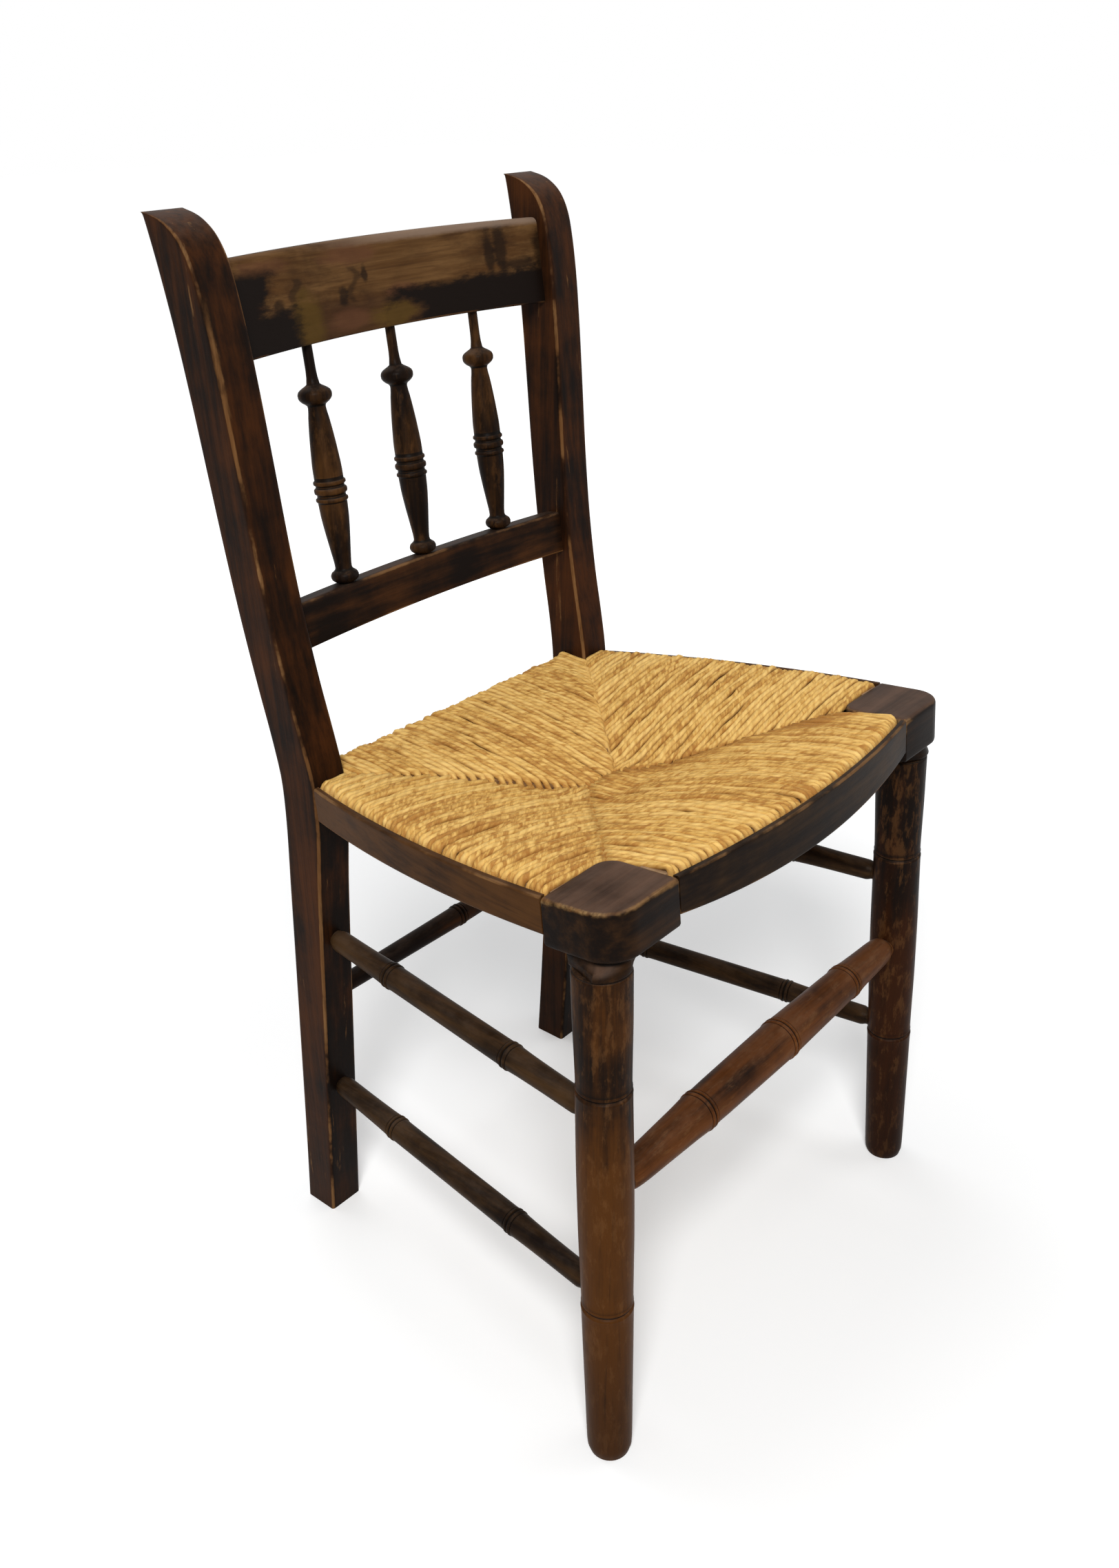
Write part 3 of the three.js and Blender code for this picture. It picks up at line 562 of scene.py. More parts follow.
def aged_wood(
    name, axis, wear=0.0, warm=0.0, low_warm=None, patches=None, slim=0.0, mottle=0.0,
    brown=None, bare=None, pale=None, top=None, rubbed_above=None, side_warm=0.0,
):
    """Old dark stain and varnish over brown wood: rubbed through on edges, dark in the grooves.

    axis is the way the grain runs, wear how far the edges are rubbed and warm how brown the
    finish is. low_warm makes it browner towards the floor: by how much, and the heights where
    that is full and gone. patches adds a mask of bare places: a function, or the word crest.
    slim cuts the wear of thin turned pieces, whose whole surface stands out. mottle is the
    amount of small orange flecks. brown, bare and pale are the piece's own shades where they
    differ from the chair's, top is the colour of a painted sheen on faces turned up,
    rubbed_above the height below which no edge is rubbed, and side_warm how much browner the
    sides are below the seat.
    """
    looks = bpy.context.scene.chair_finish
    graph = Graph(name)
    spot = graph.place()
    height = graph.split(spot)[2]
    sideways, backward, upward = graph.split(graph.add("ShaderNodeNewGeometry", out="Normal"))
    facing_front = (0.0 - backward).step(*FACES_FRONT)
    facing_up = upward.step(*FACES_UP)
    relief = graph.attribute("relief")

    def along_grain(fine, long, detail, roughness):
        factors = tuple(long if i == axis else fine for i in range(3))
        return graph.noise(graph.scaled(spot, factors), 1.0, detail, roughness)

    streaks = along_grain(130.0, 6.0, 5.0, 0.62)
    grain = along_grain(GRAIN_FINE, GRAIN_LONG, 3.0, 0.6)
    clouds = graph.noise(spot, 13.0, 5.0, 0.62)
    chips = along_grain(170.0, 55.0, 4.0, 0.7)

    dark = colour(*looks.dark_finish)
    brown = colour(*(brown or looks.brown_finish))
    bare = colour(*(bare or looks.bare_wood))
    pale = colour(*(pale or looks.worn_edge))
    browned = clouds * 0.85 + streaks * 0.75 + (warm - 0.10)
    if patches == "crest":
        browned = browned + (1.0 - facing_front) * 0.34
    if side_warm:
        above_seat = height.step(*SEAT_LEVEL)
        browned = browned + (sideways * sideways - 0.5) * side_warm * (1.0 - above_seat)
        browned = browned + above_seat * 0.09
    if low_warm:
        amount, full, gone = low_warm
        browned = browned + (1.0 - height.step(full, gone)) * amount
    finish = graph.mix(browned.step(0.55, 1.05), dark, brown)
    if mottle:
        flecks = (chips * 0.7 + clouds * 0.3 + grain * 0.12).step(0.56, 0.68) * mottle
        finish = graph.mix(flecks, finish, bare)
    finish = graph.mix(grain.step(0.5, 0.75) * 0.35, finish, DARK_GRAIN)
    finish = graph.mix((1.0 - height.step(0.0, 0.17)) * 0.42, finish, dark)
    # Faces turned up get a painted sheen in the top colour
    if top:
        painted_top_sheen = facing_up * (clouds * 0.6 + streaks * 0.5).step(0.2, 0.75)
        finish = graph.mix(painted_top_sheen, finish, colour(*top))

    edge = (relief - slim).step(0.12, 0.85)
    if rubbed_above:
        edge = edge * height.step(rubbed_above, rubbed_above + 0.006)
    patchy = clouds.step(0.40, 0.62)
    rubbed = edge * (patchy * 0.55 + 0.16) + chips * 0.5 + wear * 0.22
    worn = rubbed.step(0.52, 0.98) * edge.step(0.05, 0.4) * min(1.0, 0.3 + wear)
    pattern = CrestPattern(graph, spot, chips, clouds) if patches == "crest" else None
    if pattern:
        worn = worn.larger(pattern.bare(clouds) * facing_front)
    elif patches:
        worn = worn.larger(patches(graph, spot, chips))
    shade = graph.mix(streaks.step(0.35, 0.7), bare, pale)
    shade = graph.mix(grain.step(0.46, 0.72) * 0.55, shade, WORN_GRAIN)
    if pattern:
        smudged = (1.0 - (clouds * 0.7 + chips * 0.3).step(0.36, 0.54)) * 0.55
        shade = graph.mix(smudged, shade, CREST_SMUDGE)
        shade = graph.mix(pattern.lower_half() * 0.5, shade, CREST_LOWER)
        shade = graph.mix(pattern.any_of(CREST_OLIVE) * 0.6, shade, OLIVE_WOOD)
        shade = graph.mix(pattern.any_of(CREST_RED) * 0.6, shade, RED_WOOD)
    tone = graph.mix(worn, finish, shade)
    if pattern:
        # A painted highlight along the top rounding of the crest rail
        tone = graph.mix(pattern.top_highlight() * 0.7, tone, CREST_HIGHLIGHT)

    groove = (0.0 - relief).step(0.03, 0.30)
    tone = graph.mix(groove * 0.92, tone, GROOVE_DIRT)
    dust = facing_up * (clouds * 0.7 + chips * 0.6).step(0.45, 0.95) * 0.22
    tone = graph.mix(dust, tone, colour(*looks.dust))

    rough = 0.33 + clouds * 0.16 + worn * 0.18 + dust * 0.6
    graph.surface(Base_Color=tone, Roughness=rough, Specular_IOR_Level=0.03)
    graph.relief(grain * 0.35 + chips * 0.6, 0.45, 0.0006)
    return graph.material


# Remains of the finish on the bare middle of the crest rail: x, z, half width, half height.
CREST_MARKS = [
    (-0.128, 0.773, 0.006, 0.007), (0.104, 0.770, 0.005, 0.018), (0.116, 0.774, 0.006, 0.024),
    (-0.112, 0.760, 0.007, 0.006), (0.160, 0.768, 0.010, 0.024), (0.132, 0.763, 0.020, 0.005),
    (-0.048, 0.760, 0.005, 0.006), (-0.024, 0.772, 0.003, 0.006),
]
# Worn scrolls there: x, z, half height, swing, and length of one wave.
CREST_SCROLLS = [(-0.037, 0.766, 0.013, 0.0050, 0.0240), (-0.095, 0.769, 0.008, 0.0045, 0.0180)]
# Where the bare wood of the crest rail is olive or reddish: x, z, half width, half height.
CREST_OLIVE = [(0.000, 0.741, 0.024, 0.010), (-0.088, 0.747, 0.015, 0.018)]
CREST_RED = [
    (-0.125, 0.786, 0.026, 0.006), (-0.045, 0.743, 0.020, 0.007),
    (0.012, 0.757, 0.018, 0.006), (-0.035, 0.786, 0.030, 0.007),
]
# One more bare place, on the lower half: x, z, half width, half height.
CREST_SPOT = (0.004, 0.740, 0.026, 0.010)


class CrestPattern:
    """The crest rail's own pattern of bare, olive and reddish places, and a painted highlight along
    its top.
    """

    def __init__(self, graph, spot, chips, clouds):
        self.x, _, self.z = graph.split(spot)
        self.ragged = (chips - 0.5) * 1.3 + (clouds - 0.5) * 1.5

    def blot(self, x0, z0, half_x, half_z):
        across = (self.x - x0) / half_x
        up = (self.z - z0) / half_z
        reach = (across * across + up * up) ** 0.5 + self.ragged
        return 1.0 - reach.step(0.5, 1.3)

    def scroll(self, x0, z0, half_height, swing, wave):
        """A thin broken line that swings from side to side as it runs down."""
        swung = ((self.z - z0) * (2 * math.pi / wave)).sine() * swing
        aside = self.x - x0 - swung
        aside = (aside * aside) ** 0.5 + self.ragged * 0.0060
        rise = self.z - z0
        inside = 1.0 - ((rise * rise) ** 0.5).step(half_height * 0.8, half_height)
        return (1.0 - aside.step(0.0010, 0.0052)) * inside

    def lower_half(self):
        """Where the bare wood stays browner, below the worn upper band."""
        return 1.0 - (self.z + self.ragged * 0.006).step(0.750, 0.762)

    def top_highlight(self):
        """Where the rounding along the top gets a painted highlight, most of it on the right."""
        top = (self.z + self.ragged * 0.0016).step(0.7895, 0.7935)
        return top * (self.x + self.ragged * 0.03).step(-0.10, 0.05)

    def any_of(self, blots):
        mask = None
        for blot in blots:
            one = self.blot(*blot)
            mask = one if mask is None else mask.larger(one)
        return mask

    def bare(self, clouds):
        x, z, ragged = self.x, self.z, self.ragged
        upper = (z + ragged * 0.009).step(0.755, 0.763)
        across = x + ragged * 0.022
        middle = across.step(-0.108, -0.090) * (1.0 - across.step(-0.012, 0.008))
        left_end = 1.0 - (x + ragged * 0.020 + (0.763 - z) * 0.5).step(-0.128, -0.112)
        left_end = left_end * (1.0 - (z + ragged * 0.006).step(0.780, 0.790))
        bare = upper.larger(middle).larger(self.blot(*CREST_SPOT) * 0.9)
        bare = bare * (1.0 - left_end)
        for mark in CREST_MARKS:
            bare = bare * (1.0 - self.blot(*mark) * 0.75)
        for scroll in CREST_SCROLLS:
            bare = bare * (1.0 - self.scroll(*scroll) * 0.5)
        return bare * (0.62 + clouds * 0.55).smaller(1.0)


TWIST_LENGTH = 0.0105


def rush_finish():
    """Twisted rush: pale straw to brown leaves, turning round each cord."""
    looks = bpy.context.scene.chair_finish
    graph = Graph("woven_rush")
    along, aside, upward = graph.split(graph.attribute("cord", "Vector"))
    tone = graph.attribute("tone")
    turn = graph.add("ShaderNodeMath", {"operation": "ARCTAN2"}, {0: upward, 1: aside})
    phase = graph.noise(graph.place(), 55.0, 2.0, 0.5)
    twist = along * (2 * math.pi / TWIST_LENGTH)
    strand = (turn * 2.0 + twist + phase * 5.0).sine() * 0.5 + 0.5
    # where along the cord, which cord, and which strand: one patch of colour for each
    spread = {0: along * 88.0, 1: tone * 91.0, 2: strand * 0.9}
    lay = graph.add("ShaderNodeCombineXYZ", None, spread)
    patch = graph.noise(lay, 1.0, 3.0, 0.6)
    spot = graph.place()
    broad = graph.noise(spot, 9.0, 3.0, 0.5)
    fibre = graph.noise(graph.scaled(lay, (26.0, 1.0, 9.0)), 1.0, 2.0, 0.5)

    # a darker band along the front of the right seam
    x0, y0 = (float(v) for v in place((MIDDLE_HALF, MIDDLE_Y, RUSH_TOP))[:2])
    x1, y1 = (float(v) for v in place((*FRONT_SEAM, RUSH_TOP))[:2])
    x, y, _ = graph.split(spot)
    before = (x - x0) * ((y1 - y0) / (x1 - x0)) + y0 - y
    band = (before + (broad - 0.5) * 0.03).step(-0.003, 0.004)
    band = band * (1.0 - (before + (patch - 0.5) * 0.03).step(0.012, 0.040))
    band = band * x.step(0.0, 0.03)

    brown = colour(*looks.rush_brown)
    golden = (tone * 0.28 + patch + broad * 0.3 + band * 0.3).step(0.46, 1.0)
    mixed = graph.mix(golden, colour(*looks.straw), colour(*looks.gold))
    browned = (tone * 0.2 + patch + broad * 0.5 + band * 0.2).step(0.80, 1.08)
    mixed = graph.mix(browned * 0.85, mixed, brown)
    mixed = graph.mix((1.0 - strand).step(0.5, 1.0) * 0.25, mixed, brown)
    # Cord faces that turn away from upward, their sides and undersides, are mixed half towards brown:
    # painted shade between and under the cords
    level = graph.split(graph.add("ShaderNodeNewGeometry", out="Normal"))[2]
    mixed = graph.mix((1.0 - level.step(0.30, 0.86)) * 0.5, mixed, brown)
    mixed = graph.mix(fibre.step(0.55, 0.85) * 0.35, mixed, colour(0.80, 0.62, 0.34))
    graph.surface(Base_Color=mixed, Roughness=0.62 + patch * 0.2, Specular_IOR_Level=0.15)
    graph.relief(strand * 0.5 + fibre * 0.5, 0.6, 0.001)
    return graph.material


def plain_wood():
    """Dry unfinished wood of the rails inside the rush."""
    graph = Graph("rail_pine")
    spot = graph.place()
    grain = graph.noise(graph.scaled(spot, (30.0, 260.0, 260.0)), 1.0, 4.0, 0.6)
    tone = graph.mix(grain.step(0.3, 0.75), colour(0.30, 0.19, 0.10), colour(0.20, 0.115, 0.055))
    graph.surface(Base_Color=tone, Roughness=0.75)
    return graph.material


def dress(thing, material, slot, *nodes):
    """Gives a finished piece its material, hangs it under the root and hides the CAD nodes it stands
    for.
    """
    thing.data.materials.clear()
    thing.data.materials.append(material)
    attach(thing, "root")
    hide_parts(*nodes)
    return thing


# Sizes and finishes a user may change

def length_property(name, description, default, low, high):
    return bpy.props.FloatProperty(
        name=name, description=description, default=default, min=low, max=high,
        subtype="DISTANCE", unit="LENGTH")


class ChairSizes(bpy.types.PropertyGroup):
    cord_thickness: length_property(
        "Cord thickness", "Thickness of one twisted rush cord", 0.0051, 0.003, 0.009)
    seat_sag: length_property(
        "Seat sag", "How far the middle of the seat hangs below its edge", 0.033, 0.0, 0.05)
    cord_wander: length_property(
        "Cord wander", "How far a cord strays from its straight line", 0.0015, 0.0, 0.003)
    cord_unevenness: bpy.props.FloatProperty(
        name="Cord unevenness", description="Share by which cords differ in thickness",
        default=0.32, min=0.0, max=0.5, subtype="FACTOR")
    edge_radius: length_property(
        "Edge radius", "Rounding of the worn edges of the posts", 0.0030, 0.0005, 0.006)
    seed: bpy.props.IntProperty(
        name="Seed", description="Picks one set of random cords", default=7, min=0)


def shade_property(name, description, default):
    return bpy.props.FloatVectorProperty(
        name=name, description=description, default=default, size=3, min=0.0, max=1.0,
        subtype="COLOR")


class ChairFinish(bpy.types.PropertyGroup):
    dark_finish: shade_property("Dark finish", "Old stain and varnish", (0.0062, 0.0036, 0.0026))
    brown_finish: shade_property("Brown finish", "Where the stain is thin", (0.062, 0.0235, 0.0078))
    bare_wood: shade_property("Bare wood", "Wood rubbed bare", (0.15, 0.067, 0.023))
    worn_edge: shade_property("Worn edge", "Palest rubbed wood", (0.25, 0.135, 0.056))
    dust: shade_property("Dust", "Dust on upward faces", (0.13, 0.10, 0.082))
    straw: shade_property("Straw", "Palest rush", (0.79, 0.53, 0.180))
    gold: shade_property("Gold", "Most of the rush", (0.62, 0.36, 0.086))
    rush_brown: shade_property("Rush brown", "Darkest rush", (0.33, 0.138, 0.028))
    floor: shade_property("Floor", "Floor and backdrop", (0.845, 0.86, 0.88))


# Pieces

def post_rings(side, radius):
    heights = np.concatenate([
        np.linspace(POST_TOP, 800, 22), np.linspace(798, 760, 12)[:-1],
        np.linspace(760, 370, 40)[:-1], np.linspace(370, -12, 34),
    ])
    rings = []
    half = POST_WIDTH / 2
    for z in heights:
        front, back, x = float(post_front(z)), float(post_back(z)), float(post_x(z))
        corners = [(x + half, front), (x + half, back), (x - half, back), (x - half, front)]
        soft = min(radius, (back - front) * 0.4)
        outline = rounded_section(corners, [soft] * 4)
        rings.append([(px * side, py, z) for px, py in outline])
    return cut_at_floor(rings)


class CHAIR_OT_posts(bpy.types.Operator):
    """Square back posts that bend at the seat and roll back at the top"""
    bl_idname = "chair.posts"
    bl_label = "Back posts"

    def execute(self, context):
        radius = context.scene.chair_sizes.edge_radius * 1000
        material = aged_wood(
            "post_finish", 2, wear=0.4, warm=-0.03, low_warm=(0.10, 0.02, 0.20),
            patches=post_patches, side_warm=0.22, brown=(0.052, 0.017, 0.0050))
        for word, side in SIDES:
            post = ring_mesh(f"{word}_post_worn", post_rings(side, radius))
            dress(post, material, "post_wood", f"rear_{word}_post")
        return {"FINISHED"}


# The outer front edge of a post above the seat, in metres: a height on it, and its place there
# and lean, across and in depth
EDGE_HEIGHT = 0.458
EDGE_ACROSS = (0.1745, 0.0388)
EDGE_DEPTH = (0.122, 0.1185)


def post_patches(graph, spot, chips):
    """Long thin rubs down the posts, and one pale streak on the left post."""
    long_streak = graph.noise(graph.scaled(spot, (95.0, 95.0, 5.0)), 1.0, 4.0, 0.65)
    rubs = (long_streak + (chips - 0.5) * 0.25).step(0.66, 0.74) * 0.5
    x, y, z = graph.split(spot)
    # a pale streak down the outer front edge of the left post, beside the crest rail and below
    rise = z - EDGE_HEIGHT
    outer = (x * x) ** 0.5 - (rise * EDGE_ACROSS[1] + EDGE_ACROSS[0])
    front = y - (rise * EDGE_DEPTH[1] + EDGE_DEPTH[0])
    away = (outer * outer + front * front) ** 0.5
    beside = 1.0 - (away + (chips - 0.5) * 0.006).step(0.0006, 0.0036)
    reach = z.step(0.50, 0.60) * (1.0 - z.step(0.74, 0.79))
    left_only = 1.0 - x.step(-0.05, 0.05)
    return rubs.larger(beside * reach * left_only * long_streak.step(0.40, 0.56) * 0.65)


class CHAIR_OT_legs(bpy.types.Operator):
    """Turned front legs with thin rings cut into them"""
    bl_idname = "chair.legs"
    bl_label = "Front legs"

    def execute(self, context):
        # The right leg is darker and less brown than the left, partly as painted shade from the seat
        # above it
        for word, side, warm, brown in (
            ("left", -1, -0.02, (0.070, 0.0245, 0.0048)),
            ("right", 1, -0.12, (0.028, 0.0090, 0.0032)),
        ):
            material = aged_wood(
                f"{word}_leg_finish", 2, wear=0.2, warm=warm, low_warm=(0.36, 0.20, 0.37),
                slim=0.45, mottle=0.28, brown=brown)
            top = leg_centre(side, BLOCK_BOTTOM)
            foot = leg_centre(side, LEG_LINE_END)
            rings = turned_rings(top, foot, soft_profile(LEG_PROFILE), LEG_SIDES)
            leg = ring_mesh(f"{word}_leg_turned", cut_at_floor(rings))
            dress(leg, material, "leg_wood", f"front_{word}_leg")
        return {"FINISHED"}


def block_plan(inset):
    """Plan of the right-hand corner block, anticlockwise from above."""
    x0, x1 = BLOCK_INNER_X + inset, BLOCK_OUTER_X - inset
    y0, y1 = BLOCK_FRONT_Y + inset, BLOCK_BACK_Y - inset
    corners = [
        (x0, y0, 1.5, 180), (x1, y0, BLOCK_CORNER - inset, 270),
        (x1, y1, 1.5, 0), (x0, y1, BLOCK_INNER_CORNER - inset * 0.5, 90),
    ]
    points = []
    for x, y, radius, start in corners:
        cx = x + radius * (1 if x == x0 else -1)
        cy = y + radius * (1 if y == y0 else -1)
        count = 14 if radius > 3 else 4
        for i in range(count + 1):
            angle = math.radians(start + 90 * i / count)
            points.append((cx + radius * math.cos(angle), cy + radius * math.sin(angle)))
    return np.array(points)


def block_rings():
    centre = leg_centre(1, BLOCK_BOTTOM)
    levels = [(BLOCK_BOTTOM + z, BLOCK_FOOT_INSET, 1, radius) for z, radius in BLOCK_NECK]
    levels += [(BLOCK_BOTTOM + z, *shape, BLOCK_FOOT_RADIUS) for z, *shape in BLOCK_FOOT]
    for base, steps in ((SEAT_HEIGHT - BLOCK_SIDE, BLOCK_STEP), (SEAT_HEIGHT, BLOCK_TOP)):
        levels += [(base + z, inset, 0, BLOCK_FOOT_RADIUS) for z, inset in steps]
    rings = []
    for z, inset, roundness, radius in levels:
        plan = block_plan(inset)
        angle = np.arctan2(plan[:, 1] - centre[1], plan[:, 0] - centre[0])
        circle = centre[:2] + radius * np.stack([np.cos(angle), np.sin(angle)], axis=-1)
        ring = plan * (1 - roundness) + circle * roundness
        rings.append(np.column_stack([ring, np.full(len(ring), z)]))
    return np.array(rings)


class CHAIR_OT_blocks(bpy.types.Operator):
    """Rounded corner blocks that join the front legs to the seat"""
    bl_idname = "chair.blocks"
    bl_label = "Corner blocks"

    def execute(self, context):
        # The blocks' upward faces get a purplish grey painted sheen
        material = aged_wood(
            "block_finish", 0, wear=0.75, warm=-0.04, brown=(0.046, 0.020, 0.0070),
            top=(0.098, 0.054, 0.035), pale=(0.32, 0.20, 0.085),
            rubbed_above=float(place((0.0, 0.0, SEAT_HEIGHT - BLOCK_RUBBED))[2]))
        for word, side in SIDES:
            rings = block_rings() * np.array([side, 1, 1])
            block = ring_mesh(f"{word}_corner_block_worn", rings)
            dress(block, material, "block_wood", f"front_{word}_corner_block")
        return {"FINISHED"}


def strip_rings(outer_at, inward, bottom_at, places):
    """Sections of a strip whose outside follows outer_at, and whose thickness runs inward."""
    rings = []
    inward = np.array(inward, float)
    for along in places:
        outer, bottom = np.array(outer_at(along)), bottom_at(along)
        thick, top = STRIP_THICKNESS, SEAT_HEIGHT
        corners = [(0, bottom), (0, top), (thick, top), (thick, bottom)]
        section = rounded_section(corners, STRIP_RADII, arc=4, guard=1.6)
        rings.append([(*(outer + inward * reach), z) for reach, z in section])
    return np.array(rings)


class CHAIR_OT_strips(bpy.types.Operator):
    """Thin strips of wood that hide the rush on the outside of the seat"""
    bl_idname = "chair.strips"
    bl_label = "Edging strips"

    def execute(self, context):
        bottom = SEAT_HEIGHT - STRIP_DEPTH
        side_places = np.linspace(POST_AT_SEAT - RUSH_GAP, BLOCK_BACK_Y + STRIP_GAP, 40)
        side_finish = aged_wood(
            "side_strip_finish", 1, wear=0.35, warm=0.24, brown=(0.070, 0.029, 0.0085))
        for word, side in SIDES:
            rings = strip_rings(
                lambda y: (side * side_edge(y), y), (-side, 0), lambda y: bottom, side_places)
            strip = ring_mesh(f"{word}_strip_worn", rings)
            dress(strip, side_finish, "strip_wood", f"{word}_edging_strip")
        end = BLOCK_INNER_X - STRIP_GAP
        rings = strip_rings(
            lambda x: (x, front_edge(x)), (0, 1),
            lambda x: bottom - FRONT_STRIP_EXTRA * (1 - (x / BLOCK_INNER_X) ** 2),
            np.linspace(end, -end, 48))
        front = ring_mesh("front_strip_worn", rings)
        front_finish = aged_wood(
            "front_strip_finish", 0, wear=0.35, warm=0.02, brown=(0.038, 0.019, 0.0070))
        dress(front, front_finish, "strip_wood", "front_edging_strip")
        return {"FINISHED"}


# Turned stretchers

def bamboo_profile(length, look):
    """A swelling rod with a fine groove between two low beads at each ring."""
    end, middle, tenon = look["end"], look["middle"], look["tenon"]

    def swell(share):
        return end + (middle - end) * math.sin(math.pi * share) ** 0.8

    profile = [(-1.5, tenon), (1.0, tenon), (3.2, end - 0.8), (6, end)]
    stops = [0, *look["rings"], 1]
    for i in range(1, len(stops)):
        for t in (0.2, 0.35, 0.5, 0.65, 0.8):
            share = stops[i - 1] + (stops[i] - stops[i - 1]) * t
            hollow = 0.4 * math.sin(math.pi * t)
            profile.append((length * share, swell(share) - hollow))
        if i < len(stops) - 1:
            at, radius = length * stops[i], swell(stops[i])
            profile += [(at + offset, radius + lift) for offset, lift in STRETCHER_RING]
    return profile + [
        (length - 6, end), (length - 3.2, end - 0.8), (length - 1.0, tenon), (length + 1.5, tenon)]


def side_line(side, heights):
    """Ends of a side stretcher: on the front of the post and behind the leg."""
    back, front = heights
    leg = leg_centre(side, front)
    start = np.array([side * POST_X, post_face(back), back])
    unit = (leg - start) / np.linalg.norm(leg - start)
    return start, leg - unit * LEG_SURFACE


def front_line():
    ends = [leg_centre(side, FRONT_STRETCHER_HEIGHT) for side in (-1, 1)]
    ends[0][0] += LEG_SURFACE
    ends[1][0] -= LEG_SURFACE
    return ends


def back_line():
    inner = POST_X - POST_WIDTH / 2
    y = sum(post_face(BACK_STRETCHER_HEIGHT, column) for column in (1, 2)) / 2
    return [np.array([side * inner, y, BACK_STRETCHER_HEIGHT]) for side in (-1, 1)]


class CHAIR_OT_stretchers(bpy.types.Operator):
    """Turned stretchers between the legs"""
    bl_idname = "chair.stretchers"
    bl_label = "Stretchers"

    def execute(self, context):
        side_finish = aged_wood(
            "side_stretcher_finish", 1, wear=0.0, warm=0.10, slim=0.6, brown=(0.055, 0.028, 0.011))
        front_finish = aged_wood(
            "front_stretcher_finish", 0, wear=0.15, warm=0.20, slim=0.55, mottle=0.36,
            brown=(0.102, 0.034, 0.0090))
        back_finish = aged_wood("back_stretcher_finish", 0, wear=0.0, warm=-0.06, slim=0.6)
        jobs = [
            ("front_stretcher", front_line(), FRONT_LOOK, front_finish, "front_stretcher_wood"),
            ("back_stretcher", back_line(), BACK_LOOK, back_finish, "side_stretcher_wood"),
        ]
        for word, side in SIDES:
            for level, heights in (("upper", UPPER_STRETCHER), ("lower", LOWER_STRETCHER)):
                jobs.append((
                    f"{word}_{level}_stretcher", side_line(side, heights), SIDE_LOOK,
                    side_finish, "side_stretcher_wood"))
        for name, (start, end), look, finish, slot in jobs:
            length = float(np.linalg.norm(end - start))
            profile = soft_profile(bamboo_profile(length, look))
            rings = turned_rings(start, end, profile, ROD_SIDES)
            dress(ring_mesh(f"{name}_turned", rings, ROD_SHARP_ANGLE), finish, slot, name)
        return {"FINISHED"}


# Boards and spindles of the back

def board_face(board, z, swell):
    """Front face of a board at one height."""
    return post_face(min(z, ROLL_START)) + board["set_back"] + board["bow"] * swell


def board_rings(board):
    rings = []
    thick = board["thickness"]
    for share in np.linspace(1, -1, 61):
        swell = 1 - share * share
        z0 = board["bottom"] + board["arch"] * swell
        z1 = board["bottom"] + board["height"] + board["arch"] * swell * ARCH_TOP
        front0, front1 = board_face(board, z0, swell), board_face(board, z1, swell)
        corners = [(front0, z0), (front1, z1), (front1 + thick, z1), (front0 + thick, z0)]
        section = rounded_section(corners, board["radii"], arc=6)
        ring = []
        for y, z in section:
            clear = float(post_x(z)) - POST_WIDTH / 2
            ring.append((share * (clear + BOARD_ENTERS_POST), y, z))
        rings.append(ring)
    return np.array(rings)


class CHAIR_OT_back(bpy.types.Operator):
    """Bowed crest rail and lower rail of the back"""
    bl_idname = "chair.back"
    bl_label = "Back rails"

    def execute(self, context):
        crest_finish = aged_wood(
            "crest_finish", 0, wear=0.6, warm=-0.30, patches="crest",
            bare=(0.075, 0.034, 0.0115), pale=(0.140, 0.072, 0.027))
        crest = ring_mesh("crest_rail_worn", board_rings(CREST))
        dress(crest, crest_finish, "crest_wood", "crest_rail")
        lower_finish = aged_wood("lower_rail_finish", 0, wear=0.3, warm=0.0)
        lower = ring_mesh("lower_back_rail_worn", board_rings(LOWER_RAIL))
        dress(lower, lower_finish, "lower_rail_wood", "lower_back_rail")
        return {"FINISHED"}


def board_point(board, x, height):
    """Middle of a board's thickness at a place across it, at its lower or upper edge."""
    t = x / (float(post_x(board["bottom"])) - POST_WIDTH / 2)
    swell = 1 - t * t
    z = board["bottom"] + height + board["arch"] * swell * (ARCH_TOP if height else 1)
    return np.array([x, board_face(board, z, swell) + board["thickness"] / 2, z])


class CHAIR_OT_spindles(bpy.types.Operator):
    """Three slim turned spindles with three rings at their waist"""
    bl_idname = "chair.spindles"
    bl_label = "Spindles"

    def execute(self, context):
        finish = aged_wood(
            "spindle_finish", 2, wear=0.2, slim=0.55, mottle=0.16, brown=(0.056, 0.024, 0.0075))
        for word, x in SPINDLE_PLACES.items():
            foot = board_point(LOWER_RAIL, x, LOWER_RAIL["height"])
            head = board_point(CREST, x, 0)
            length = float(np.linalg.norm(head - foot))
            profile = SPINDLE_PROFILE + [(length + 2, SPINDLE_TOP_RADIUS)]
            rings = turned_rings(foot, head, soft_profile(profile, 5.0), ROD_SIDES)
            spindle = ring_mesh(f"{word}_spindle_turned", rings, ROD_SHARP_ANGLE)
            dress(spindle, finish, "spindle_wood", f"{word}_spindle")
        return {"FINISHED"}


# Rush seat

BACK_SEAM = (POST_X - POST_WIDTH / 2 + 2, 284.5)
FRONT_SEAM = (BLOCK_INNER_X + 4, BLOCK_BACK_Y - 4)
RUSH_INSET = STRIP_THICKNESS + RUSH_GAP
SAG_REACH = BACK_RUSH_Y - MIDDLE_Y
DIVE = 7.0  # how far a cord drops where it goes down into the seam
SEAM_START = 2.4  # how far before the seam that drop starts
CORD_STEP = 11
CORD_PITCH = 0.96  # of a cord's thickness
UNDER_RISE = 4.0  # most that the lower layer of cords rises towards the middle
UNDER_REACH = 60  # how far in from the edge it reaches its full height


